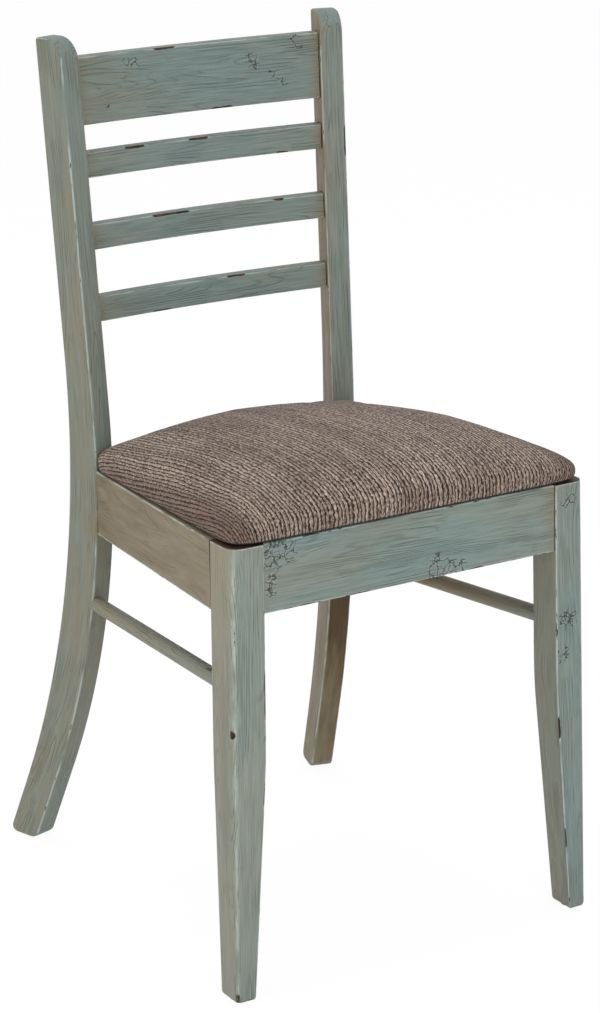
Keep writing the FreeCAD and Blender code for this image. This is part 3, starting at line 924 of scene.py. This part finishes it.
@dataclass(frozen=True)
class RearLegs:
    """The two rear legs: curved boards, turned outwards, that sweep back below and lean above."""

    seat: SeatPlane
    half_width: float = 152.7 * MM
    front: float = 345.9 * MM
    turn: float = math.radians(16.5)
    thickness: float = 24.2 * MM
    top: float = 858 * MM
    foot: float = 1 * MM
    foot_sweep: float = 115.9 * MM
    foot_depth: float = 40.9 * MM
    sweep: float = math.tan(math.radians(24.4))
    lean: float = math.tan(math.radians(4.0))
    bend_height: float = 284 * MM
    front_bend: float = 830 * MM
    back_bend: float = 995 * MM
    depth: float = 34.8 * MM
    front_top: float = 22 * MM
    back_top: float = 3.5 * MM
    toe: float = 8 * MM
    heel: float = 9 * MM
    eased: float = 2.2 * MM
    chip: float = 727 * MM

    def post_front(self, z: float) -> float:
        """The straight front line of the post at a height."""
        start = self.foot_sweep - self.bend_height * self.sweep
        return start + (z - self.bend_height) * self.lean

    def line(self, foot: float, meet: float, deep: float, radius: float) -> Bend:
        """The line of an edge in side view.

        Args:
            foot: Its place on the floor.
            meet: The height of its bend.
            deep: How far it lies behind the front line above.
            radius: The radius of its bend.

        Returns:
            The line.
        """
        above = (self.post_front(z) + deep for z in (meet, self.top))
        places = (foot - self.foot * self.sweep, *above)
        return Bend((self.foot, meet, self.top), places, radius)

    def front_line(self) -> Bend:
        """The line of the front edge in side view."""
        return self.line(self.foot_sweep, self.bend_height, 0.0, self.front_bend)

    def back_line(self) -> Bend:
        """The line of the back edge in side view."""
        foot = self.foot_sweep + self.foot_depth
        meet = (foot - self.post_front(0) - self.depth) / (self.sweep + self.lean)
        return self.line(foot, meet, self.depth, self.back_bend)

    @property
    def inwards(self) -> Vector:
        """Unit vector square to the left leg's inner face."""
        return Vector((math.cos(self.turn), math.sin(self.turn), 0))

    def point(self, inwards: float, back: float, z: float) -> Vector:
        """The place of a point in the left leg's own frame, from its front outer corner."""
        c, s = math.cos(self.turn), math.sin(self.turn)
        return row(inwards * c - back * s - self.half_width, inwards * s + back * c + self.front, z)

    def fit(self, board: Workpiece, point: Vector, reach: float) -> None:
        """Saws both ends of a board to the inner faces of the legs.

        Args:
            board: The board.
            point: A point on the left leg's inner face.
            reach: How far the glaze spreads from the joints.
        """
        for sign in (1, -1):
            spot, normal = (vector * Vector((sign, 1, 1)) for vector in (point, self.inwards))
            board.trim(spot, normal)
            board.seam(spot, normal, reach, 0.6)

    def make(self, side: Side, paint: Material, joints: Iterable[float]) -> Object:
        """Makes one leg.

        Args:
            side: Which one.
            paint: Its finish.
            joints: The heights where the rails that meet it begin and end.

        Returns:
            The leg.
        """
        height = self.top - self.foot
        leg = Workpiece(f"rear_leg_{side.value}", (self.thickness, self.depth, height), 2)

        def through(y: float, z: float) -> Wanted:
            return lambda a, b: all(abs(p.y - y) < MM and abs(p.z - z) < MM for p in (a, b))

        def upright(a: Vector, b: Vector) -> bool:
            return abs(a.x - b.x) < MM and not MM < a.x < self.thickness - MM

        leg.ease(self.front_top, through(0, height), 9)
        leg.ease(self.back_top, through(self.depth, height))
        leg.ease(self.toe, through(0, 0), 4)
        leg.ease(self.heel, through(self.depth, 0), 4)
        leg.ease(self.eased, upright)
        leg.divide_all()
        front, back = self.front_line(), self.back_line()

        def bent(co: Vector) -> Vector:
            z = co.z + self.foot
            near, far = front.at(z), back.at(z)
            return self.point(co.x, near + (far - near) * co.y / self.depth, z)

        leg.shape(bent)
        seat = self.seat.height(self.front)
        # The side faces take glaze, in part a painted warm tone for the side light; below the seat
        # the front face takes painted shade that deepens towards the seat, strongest on the right
        # leg, where it turns dark brown
        shade_under_seat, inside = (1.55, 0.88) if side is Side.RIGHT else (0.5, 0.8)

        def washed_and_shaded(co: Vector, normal: Vector) -> float:
            sideways = 0.38 * max(0.0, -normal.x) + inside * max(0.0, normal.x)
            if co.z >= seat:
                return sideways
            return max(sideways, shade_under_seat * (0.58 + 0.42 * co.z / seat) * max(0.0, -normal.y))

        leg.wash(washed_and_shaded)
        places = [self.point(self.thickness, self.post_front(z) + 8 * MM, z) for z in joints]
        leg.gather(leg.glaze_and_shade, [(place, 14) for place in places], 0.8)
        leg.gather(leg.glaze_and_shade, [(self.point(4 * MM, 0, seat - 60 * MM), 40)], 0.7)
        leg.gather(leg.glaze_and_shade, [(self.point(4 * MM, 0, seat), 30)], 0.6)
        heights = (0.715, 0.68, 0.175) if side is Side.LEFT else (0.80, 0.56, 0.47)
        leg.gather(leg.bare, [(self.point(0, front.at(z), z), 45) for z in heights], 0.62)
        for v in leg.bm.verts:
            v[leg.wear] = max(v[leg.wear], 0.66 * (1 - v.co.z / 0.15))
        if side is Side.RIGHT:
            chip = self.point(0, self.post_front(self.chip), self.chip)
            leg.gather(leg.bare, [(chip, 20)], 0.95, 3)
        return leg.finish(paint)


@dataclass(frozen=True)
class Rail:
    """One rail of the back.

    Each chip has its place across the chair, its height above the bottom and its radius in mm.
    """

    name: str
    bottom: float
    height: float
    chips: Rows


@dataclass(frozen=True)
class BackRails:
    """The crest rail and the three slats, bowed backwards between the rear legs."""

    legs: RearLegs
    thickness: float = 16 * MM
    recess: float = 5.5 * MM
    bow: float = 6.7 * MM
    eased: float = 2.5 * MM
    crest: Rail = Rail(
        "crest_rail", 771.0 * MM, 66.5 * MM,
        (
            (-0.037, 66.5 * MM, 25), (0.085, 66.5 * MM, 9),
            (0.032, 66.5 * MM, 7), (0.026, 0.0, 21),
        ),
    )
    slats: tuple[Rail, ...] = (
        Rail(
            "upper_slat", 719.3 * MM, 25.4 * MM,
            ((-0.078, 23.4 * MM, 15), (-0.004, 23.4 * MM, 14), (0.09, 0.0, 12)),
        ),
        Rail(
            "middle_slat", 648.2 * MM, 25.4 * MM,
            ((-0.040, 25.4 * MM, 30), (0.085, 25.4 * MM, 11)),
        ),
        Rail("lower_slat", 576.3 * MM, 25.4 * MM, ((0.03, 25.4 * MM, 14), (-0.06, 0.0, 16))),
    )
    cracks: Rows = (
        (-75, 826, 10), (62, 815, 13), (85, 800, 11),
        (-105, 792, 10), (112, 832, 12), (100, 786, 10),
    )

    def rails(self) -> tuple[Rail, ...]:
        """All four, from the top."""
        return (self.crest, *self.slats)

    def joints(self) -> list[float]:
        """The heights where the rails begin and end."""
        return [z for r in self.rails() for z in (r.bottom, r.bottom + r.height)]

    def make(self, rail: Rail, paint: Material) -> Object:
        """Makes one rail."""
        legs, height = self.legs, rail.height
        middle = rail.bottom + height / 2
        face = legs.point(legs.thickness, legs.post_front(middle), middle)
        chord = -face.x
        radius = (chord**2 + self.bow**2) / (2 * self.bow)
        centre = face.y + self.recess + self.bow - radius
        length = chord * 2 + 30 * MM
        board = Workpiece(rail.name, (length, self.thickness, height), 0)
        board.ease(self.eased, lambda a, b: abs(a.x - b.x) > length / 2)
        board.divide_all()

        def bowed(co: Vector) -> Vector:
            angle = (co.x - length / 2) / radius
            reach = radius + co.y
            z = rail.bottom + co.z
            shift = (z - middle) * legs.lean * math.cos(legs.turn)
            return Vector((reach * math.sin(angle), centre + shift + reach * math.cos(angle), z))

        # Glaze towards both ends; the extra on the left end is painted shade
        def washed_and_shaded(co: Vector, _: Vector) -> float:
            share = co.x / chord
            return 0.16 * max(0.0, abs(share) - 0.3) + 0.20 * max(0.0, -share)

        board.shape(bowed)
        board.wash(washed_and_shaded)
        legs.fit(board, face, 24 * MM)
        edge = centre + radius
        over = self.thickness if rail is self.crest else 0.0
        chips = [
            (Vector((x, edge + (over if z else 0.0), rail.bottom + z)), r) for x, z, r in rail.chips
        ]
        board.gather(board.bare, chips, 0.95, 3)
        if rail is self.crest:
            end = Vector((chord, face.y + self.recess, middle))
            worn = [(end + Vector((0, 0, z * MM)), 22) for z in (-18, 4, 26)]
            board.gather(board.bare, worn, 0.6)
            cracks = [(Vector((x * MM, edge, z * MM)), r) for x, z, r in self.cracks]
            board.gather(board.crackle, cracks, 0.88, 2)
        return board.finish(paint)


@dataclass(frozen=True)
class SeatFrame:
    """The four aprons between the legs."""

    seat: SeatPlane
    front_legs: FrontLegs
    rear_legs: RearLegs
    height: float = 67 * MM
    thickness: float = 20 * MM
    front_recess: float = 2.3 * MM
    rear_recess: float = 1.5 * MM
    eased: float = 1.5 * MM
    spare: float = 12 * MM
    cracks: Rows = ((-150, 433, 20), (-136, 437, 14), (28, 391, 16), (50, 386, 13), (-155, 405, 10))

    def front(self, paint: Material) -> Object:
        """Makes the front apron."""
        half = self.front_legs.half_width - self.front_legs.width + 6 * MM
        board = Workpiece("front_apron", (half * 2, self.thickness, self.height), 0)
        board.ease(self.eased, lambda a, b: abs(a.x - b.x) > half and a.y < MM)
        board.divide_all()
        low = self.seat.top - self.height
        board.shape(lambda co: row(co.x - half, co.y + self.front_recess, co.z + low))
        for sign, reach, strength in ((1, 16 * MM, 0.25), (-1, 34 * MM, 0.50)):
            heights = (self.seat.top, low)
            top, bottom = (row(-self.front_legs.inner(z) * sign, 0, z) for z in heights)
            along = (top - bottom).normalized()
            normal = Vector((along.z, 0, -along.x)) * sign
            board.trim(top, normal)
            board.seam(top, normal, reach, strength)
        cracks = [(row(x * MM, self.front_recess, z * MM), r) for x, z, r in self.cracks]
        board.gather(board.crackle, cracks, 1.0, 2)
        chips = [(row(x * MM, self.front_recess, low), 16) for x in (-115, -60, 70)]
        board.gather(board.bare, chips, 0.80, 2)
        return board.finish(paint)

    def rear(self, paint: Material) -> Object:
        """Makes the rear apron."""
        legs = self.rear_legs
        half = legs.half_width
        corner = legs.point(legs.thickness, 0, 0)
        face = corner.y - LEG_FRONT_Y + self.rear_recess
        board = Workpiece("rear_apron", (half * 2, self.thickness, self.height), 0)
        board.divide_all(14 * MM)

        def sloped(co: Vector) -> Vector:
            depth = co.y + face
            return row(co.x - half, depth, self.seat.height(depth) - self.height + co.z)

        board.shape(sloped)
        legs.fit(board, corner, 30 * MM)
        return board.finish(paint)

    def side(self, side: Side, paint: Material) -> Object:
        """Makes one side apron."""
        legs = self.rear_legs
        start = Vector((-self.front_legs.half_width, self.seat.start, 0))
        end = Vector((-legs.half_width, legs.front, 0))
        along = (end - start).normalized()
        inwards = Vector((along.y, -along.x, 0))
        length = (end - start).length + self.spare * 2
        board = Workpiece(f"side_apron_{side.value}", (self.thickness, length, self.height), 1)
        board.ease(1 * MM, lambda a, b: abs(a.y - b.y) > length / 2 and a.x < MM, 2)
        board.divide_all(12 * MM)

        def sloped(co: Vector) -> Vector:
            spot = start + along * (co.y - self.spare) + inwards * co.x
            return row(spot.x, spot.y, self.seat.height(spot.y) - self.height + co.z)

        board.shape(sloped)
        front, back = row(0, self.seat.start, 0), legs.point(0, 0, 0)
        forwards, backwards = Vector((0, 1, 0)), Vector((-legs.inwards.y, legs.inwards.x, 0))
        board.trim(front, forwards)
        line = legs.front_line()
        for v in board.trim(back, -backwards):
            v.co += along * (line.at(v.co.z) / along.dot(backwards))
        # A tan wash over the side aprons that rises towards the back, in part a painted warm tone
        # for the light from the side
        board.wash(lambda co, normal: 0.78 + 0.10 * (co.y - LEG_FRONT_Y) / legs.front)
        board.seam(front, forwards, 60 * MM, 0.8)
        board.seam(back, -backwards, 50 * MM, 0.95)
        return board.finish(paint)


@dataclass(frozen=True)
class SideStretchers:
    """The two round bars between the front and rear legs."""

    front_legs: FrontLegs
    rear_legs: RearLegs
    radius: float = 7.9 * MM
    front_height: float = 301.8 * MM
    rear_height: float = 285 * MM
    let_in: float = 14 * MM
    sides: int = 24
    lengths: int = 56
    chips: tuple[int, ...] = (50, 56, 62, 68, 74, 80)

    def ends(self) -> tuple[Vector, Vector]:
        """The two ends of the left stretcher, inside the legs."""
        legs = self.rear_legs
        x = self.front_legs.half_width - self.front_legs.width / 2
        front = row(-x, self.front_legs.depth - self.let_in, self.front_height)
        back = legs.front_line().at(legs.bend_height) + self.let_in
        return front, legs.point(legs.thickness / 2, back, self.rear_height)

    def make(self, side: Side, paint: Material) -> Object:
        """Makes one stretcher."""
        front, rear = self.ends()
        length = (rear - front).length
        size = (self.radius * 2, self.radius * 2, length)
        bar = Workpiece(f"side_stretcher_{side.value}", size, 2)
        bar.ease(self.radius * 0.999, lambda a, b: abs(a.z - b.z) > length / 2, self.sides // 4)
        bar.divide(2, [length * k / self.lengths for k in range(1, self.lengths)])
        bar.mark()
        axis = (rear - front).normalized()
        turned = axis.to_track_quat("Z", "X").to_matrix()
        middle = Vector((self.radius, self.radius, 0))
        bar.shape(lambda co: front + turned @ (co - middle))
        for v in bar.bm.verts:
            v[bar.wear] *= 0.3
        # Glaze along the bar; on the right one it deepens to dark brown towards the back as painted
        # shade under the seat
        far = 1.25 if side is Side.RIGHT else 0.45
        bar.wash(lambda co, normal: 0.35 + (far - 0.35) * (co - front).dot(axis) / length)
        if side is Side.LEFT:
            face = front + Vector((-0.45, -0.15, 0.88)) * self.radius
            bar.gather(bar.bare, [(face + axis * (s * MM), 5) for s in self.chips], 1.45, 2)
        return bar.finish(paint)


# The seat


@dataclass(frozen=True)
class SeatCushion:
    """The loose pad: a crowned, close-filled cushion whose cloth is pulled down over the edges."""

    seat: SeatPlane
    front: float = 0.5 * MM
    rear: float = 341.9 * MM
    front_half: float = 193 * MM
    rear_half: float = 150.5 * MM
    front_bow: float = 1.5 * MM
    side_bow: float = 0.5 * MM
    rear_bow: float = 27 * MM
    around: int = 320
    front_power: float = 15.0
    rear_power: float = 70.0
    top_power: float = 3.5
    front_droop: float = 0.46
    corner_droop: float = 0.25
    droop_power: float = 1.5
    rear_droop: float = 0.03
    fullness: float = 0.94
    profile: tuple[tuple[float, float], ...] = (
        (0, 0.3), (1.2, -1.4), (3.5, -2.8), (7, -3.8), (13, -4.2), (20, -3.8), (26, -2), (31, 2),
        (36, 8), (40, 16), (44, 27), (47.5, 42), (50.5, 62), (53, 86), (55, 112), (56.3, 140),
        (57, 168),
    )
    pressure: float = 3.0
    stiffness: float = 20
    frames: int = 20
    most_swell: float = 1.5 * MM
    held: tuple[float, float] = (6 * MM, 30 * MM)

    @property
    def middle(self) -> float:
        """The depth of the pad's middle."""
        return (self.front + self.rear) / 2

    @property
    def half_depth(self) -> float:
        """Half the pad's depth."""
        return (self.rear - self.front) / 2

    def half(self, depth: float) -> float:
        """Half the pad's width at a depth."""
        share = (depth - self.front) / (self.rear - self.front)
        return self.front_half + (self.rear_half - self.front_half) * share

    def levels(self) -> list[tuple[float, float]]:
        """Height and inset of every ring, with one more between each two of the profile."""
        points = [Vector(p) * MM for p in self.profile]
        rings = [points[0]]
        for k in range(1, len(points)):
            before, after = points[max(0, k - 2)], points[min(len(points) - 1, k + 1)]
            between = (points[k - 1] + points[k]) * 0.5625 - (before + after) * 0.0625
            rings += [between, points[k]]
        return [(ring.x, ring.y) for ring in rings]

    def spot(self, angle: float, level: tuple[float, float]) -> Vector:
        """A point of the pad's outline.

        Args:
            angle: The direction from the middle.
            level: The height and the inset of its ring.

        Returns:
            The point, on the flat pad.
        """
        height, inset = level
        share = 1 - inset / self.front_half
        c, s = math.cos(angle), math.sin(angle)
        edge = self.front_power + (self.rear_power - self.front_power) * max(0.0, s) ** 2
        sharp = min(1.0, max(0.0, share * 1.2 - 0.2))
        power = self.top_power + (edge - self.top_power) * sharp
        reach = (abs(c) ** power + abs(s) ** power) ** (-1 / power) * share
        across, deep = c * reach, s * reach
        along = (deep + 1) / 2
        bow = self.rear_bow * along - self.front_bow * (1 - along)
        y = self.middle + deep * self.half_depth + bow * (share**2 - across**2)
        side = self.half(y) + self.side_bow * 4 * along * (1 - along)
        corner = self.front_droop + (self.corner_droop - self.front_droop) * along
        droop = corner * abs(across * deep) ** self.droop_power + self.rear_droop * along**2
        return Vector((across * side, y, height * self.fullness * (1 - droop)))

    def block(self) -> bmesh.types.BMesh:
        """The pad before it is filled, from its foot to its crown."""
        bm = bmesh.new()
        angle = bm.verts.layers.float.new("angle")
        bmesh.ops.create_circle(bm, cap_ends=True, segments=self.around, radius=1)
        for v in bm.verts:
            v[angle] = math.atan2(v.co.y, v.co.x)
        ring, top = list(bm.verts), list(bm.faces)
        for number, level in enumerate(self.levels()):
            if number:
                lifted = bmesh.ops.extrude_face_region(bm, geom=top)["geom"]
                if number > 1:
                    bmesh.ops.delete(bm, geom=top, context="FACES_ONLY")
                ring = [v for v in lifted if isinstance(v, bmesh.types.BMVert)]
                top = [f for f in lifted if isinstance(f, bmesh.types.BMFace)]
            for v in ring:
                v.co = self.spot(v[angle], level)
        bmesh.ops.poke(bm, faces=[f for f in bm.faces if len(f.verts) == self.around])
        bmesh.ops.recalc_face_normals(bm, faces=bm.faces)
        return bm

    def fill(self, obj: Object) -> None:
        """Lets the filling push the pad's cloth out.

        Args:
            obj: The pad, whose mesh is replaced.
        """
        start = [v.co.copy() for v in obj.data.vertices]
        low, high = self.held
        group = obj.vertex_groups.new(name="held")
        for v in obj.data.vertices:
            group.add([v.index], min(1.0, max(0.0, (high - v.co.z) / (high - low))), "REPLACE")
        cloth = obj.modifiers.new("cloth", "CLOTH")
        settings = cloth.settings
        settings.quality = 6
        settings.mass = 0.3
        settings.tension_stiffness = settings.compression_stiffness = self.stiffness
        settings.bending_stiffness = self.stiffness / 10
        settings.use_pressure = True
        settings.uniform_pressure_force = self.pressure
        settings.vertex_group_mass = group.name
        settings.effector_weights.gravity = 0
        cloth.point_cache.frame_start, cloth.point_cache.frame_end = 1, self.frames
        for frame in range(1, self.frames + 1):
            bpy.context.scene.frame_set(frame)
        apply_modifiers(obj)
        bpy.context.scene.frame_set(1)
        for v, origin in zip(obj.data.vertices, start):
            way = v.co - origin
            if way.length > self.most_swell:
                v.co = origin + way.normalized() * self.most_swell
            v.co.z = max(v.co.z, 0.0)

    def wraps(self) -> list[tuple[float, float]]:
        """How much cloth each height has used up by bending, against the height, from the foot."""
        spots = [(-inset, height) for height, inset in self.levels()]
        used, table = 0.0, []
        for (r1, z1), (r0, z0) in zip(spots[::-1], spots[-2::-1]):
            table.append((z1, used))
            used += math.hypot(r1 - r0, z1 - z0) - (r0 - r1)
        return [(0.0, used)] + table[::-1]

    def lay_cloth(self, mesh: bpy.types.Mesh) -> None:
        """Marks where each point lay on the flat cloth, whose ribs run from front to back."""
        table = self.wraps()

        def used(z: float) -> float:
            for (z0, w0), (z1, w1) in zip(table, table[1:]):
                if z <= z1:
                    return w0 + (w1 - w0) * max(0.0, z - z0) / (z1 - z0)
            return table[-1][1]

        cloth = mesh.attributes.new("cloth", "FLOAT_VECTOR", "POINT")
        for v, mark in zip(mesh.vertices, cloth.data):
            halves = (self.half(v.co.y), self.half_depth)
            shares = (v.co.x / halves[0], (v.co.y - self.middle) / halves[1])
            away = Vector([abs(s) ** 7 * s / half for s, half in zip(shares, halves)] + [0])
            away = away.normalized() if away.length > 1e-9 else away
            mark.vector = v.co + away * used(v.co.z)

    def laid(self, co: Vector) -> Vector:
        """A point of the flat pad on the sloping seat frame."""
        slope = math.atan(self.seat.slope)
        back, up = co.y - self.seat.start, co.z
        y = self.seat.start + back * math.cos(slope) + up * math.sin(slope)
        return row(co.x, y, self.seat.top - back * math.sin(slope) + up * math.cos(slope))

    def make(self, cloth: Material) -> Object:
        """Makes the cushion."""
        cushion = solid(self.block(), "cushion", (cloth,))
        declared(cushion, Slot.FABRIC, ("seat_cover", "seat_foam"))
        self.fill(cushion)
        self.lay_cloth(cushion.data)
        for v in cushion.data.vertices:
            v.co = self.laid(v.co)
        smooth(cushion)
        return cushion


def apply_modifiers(obj: Object) -> None:
    """Gives an object its own evaluated mesh and drops its modifiers."""
    graph = bpy.context.evaluated_depsgraph_get()
    mesh = bpy.data.meshes.new_from_object(obj.evaluated_get(graph))
    materials = list(obj.data.materials)
    obj.modifiers.clear()
    obj.data = mesh
    obj.data.materials.clear()
    for material in materials:
        obj.data.materials.append(material)


# Under the seat


class Underside:
    """The hidden joinery and fasteners, which keep their CAD shapes."""

    def __init__(self, nodes: dict[str, Object]) -> None:
        """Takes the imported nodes."""
        self.nodes = nodes

    def dress(self) -> None:
        """Gives each node its finish."""
        beech = Timber("corner_beech", (0.50, 0.33, 0.18), (0.34, 0.20, 0.10))
        zinc = Metal("zinc_screws", (0.56, 0.55, 0.52), 0.25)
        finishes = {
            beech: ("corner_block",),
            Timber("dowel_beech", (0.55, 0.38, 0.22), (0.40, 0.26, 0.14), 1): ("frame_dowels",),
            zinc: ("block_screws", "seat_screws"),
            Metal("staple_steel", (0.62, 0.62, 0.62), 0.18): ("cover_staples",),
            Plies(): ("seat_board",),
            Lining(): ("dust_cover",),
            Nylon(): ("glides",),
        }
        for finish, starts in finishes.items():
            material = finish.material()
            for name, node in self.nodes.items():
                if name.startswith(starts):
                    self.paint(node, material)

    @staticmethod
    def paint(node: Object, material: Material) -> None:
        """Puts a material in every slot of a node."""
        if not node.material_slots:
            node.data.materials.append(material)
        for slot in node.material_slots:
            slot.material = material


# The studio


@dataclass(frozen=True)
class Lamp:
    """A square soft light that faces the chair."""

    name: str
    azimuth: float
    elevation: float
    distance: float
    size: float
    power: float
    colour: Colour = (1.0, 1.0, 1.0)


@dataclass(frozen=True)
class Studio:
    """Pale floor, white surroundings, soft lamps and the camera."""

    azimuth: float = -30.922
    elevation: float = 17.097
    roll: float = math.radians(-1.117)
    camera_place: tuple[float, float, float] = (-1.454722, -2.471118, 1.273094)
    lens: float = 106.592
    aim: Vector = Vector((0, 0, 0.45))
    ambient: float = 0.51
    paper: Colour = (0.86, 0.86, 0.86)
    floor_glow: float = 1.07
    floor_share: float = 0.87
    floor_size: float = 12.0
    lamps: tuple[Lamp, ...] = (
        Lamp("front_light", -8, 12, 2.3, 1.4, 12.5, (0.97, 1.0, 0.99)),
        Lamp("left_light", -78, 8, 2.8, 1.6, 19, (1.0, 0.93, 0.82)),
        Lamp("right_light", 75, 25, 3.4, 1.6, 5),
        Lamp("top_light", 180, 80, 2.6, 1.6, 14, (1.0, 0.98, 0.95)),
    )

    @staticmethod
    def backwards(azimuth: float, elevation: float) -> Vector:
        """Unit vector from the chair towards a viewer, by angles in degrees."""
        a, e = math.radians(azimuth), math.radians(elevation)
        return Vector((math.sin(a) * math.cos(e), -math.cos(a) * math.cos(e), math.sin(e)))

    def camera(self) -> None:
        """Sets the camera where the photograph was taken."""
        back = self.backwards(self.azimuth, self.elevation)
        right = (-back).cross(Vector((0, 0, 1))).normalized()
        up = right.cross(-back)
        c, s = math.cos(self.roll), math.sin(self.roll)
        turned = Matrix((right * c + up * s, up * c - right * s, back)).transposed().to_4x4()
        data = bpy.data.cameras.new("camera")
        data.sensor_width, data.lens = 36, self.lens
        camera = linked("camera", data, Matrix.Translation(self.camera_place) @ turned)
        bpy.context.scene.camera = camera

    def light(self, lamp: Lamp) -> None:
        """Hangs one lamp."""
        data = bpy.data.lights.new(lamp.name, "AREA")
        data.size, data.energy, data.color = lamp.size, lamp.power, lamp.colour
        back = self.backwards(lamp.azimuth, lamp.elevation)
        turned = (-back).to_track_quat("-Z", "Y").to_matrix().to_4x4()
        linked(lamp.name, data, Matrix.Translation(self.aim + back * lamp.distance) @ turned)

    def surroundings(self) -> None:
        """Lights the chair evenly and shows white behind it."""
        g = Graph("studio", world=True)
        plain, white = (
            g.add("ShaderNodeBackground", {"Color": WHITE, "Strength": strength})
            for strength in (self.ambient, 1.0)
        )
        shown = g.add("ShaderNodeMixShader", {0: g.seen(), 1: plain, 2: white})
        bpy.context.scene.world = g.end(shown, "ShaderNodeOutputWorld")

    def floor(self) -> None:
        """Lays the pale floor."""
        bm = bmesh.new()
        bmesh.ops.create_grid(bm, x_segments=1, y_segments=1, size=self.floor_size)
        g = Graph("pale_floor")
        paper = g.add("ShaderNodeBsdfDiffuse", {"Color": (*self.paper, 1)})
        glow = g.add("ShaderNodeEmission", {"Color": WHITE, "Strength": self.floor_glow})
        seen = g.seen() * self.floor_share
        material = g.end(g.add("ShaderNodeMixShader", {0: seen, 1: paper, 2: glow}))
        solid(bm, "floor", (material,))

    def build(self) -> None:
        """Sets everything up."""
        self.camera()
        self.surroundings()
        self.floor()
        for lamp in self.lamps:
            self.light(lamp)
        bpy.context.scene.view_settings.view_transform = "Standard"


def main() -> None:
    """Builds the chair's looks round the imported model."""
    logging.basicConfig(level=logging.INFO, format="%(name)s: %(message)s")
    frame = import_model()
    paint = ChalkPaint().material()
    bare_top = Timber("bare_leg_top", (0.085, 0.030, 0.018), (0.030, 0.012, 0.008), 1).material()
    # A lighter copy of the paint on the near front leg is painted light; a darker copy on the rear
    # legs and back rails is painted shade
    lit_colours = ((0.250, 0.312, 0.280), (0.288, 0.316, 0.268), (0.335, 0.288, 0.195))
    lit_copy_paint = ChalkPaint("lit_copy_paint", *lit_colours).material()
    shaded_colours = ((0.202, 0.281, 0.267), (0.226, 0.272, 0.240))
    shaded_copy_paint = ChalkPaint("shaded_copy_paint", *shaded_colours).material()
    seat = SeatPlane()
    front_legs, rear_legs = FrontLegs(seat), RearLegs(seat)
    rails = BackRails(rear_legs)
    aprons = SeatFrame(seat, front_legs, rear_legs)
    stretchers = SideStretchers(front_legs, rear_legs)
    for side in Side:
        front_legs.make(side, lit_copy_paint if side is Side.LEFT else paint, bare_top)
        rear_legs.make(side, shaded_copy_paint, rails.joints())
        aprons.side(side, paint)
        stretchers.make(side, paint)
    for rail in rails.rails():
        rails.make(rail, shaded_copy_paint)
    aprons.front(paint)
    aprons.rear(paint)
    SeatCushion(seat).make(Chenille().material())
    Underside(frame["nodes"]).dress()
    Studio().build()


if __name__ == "__main__":
    main()
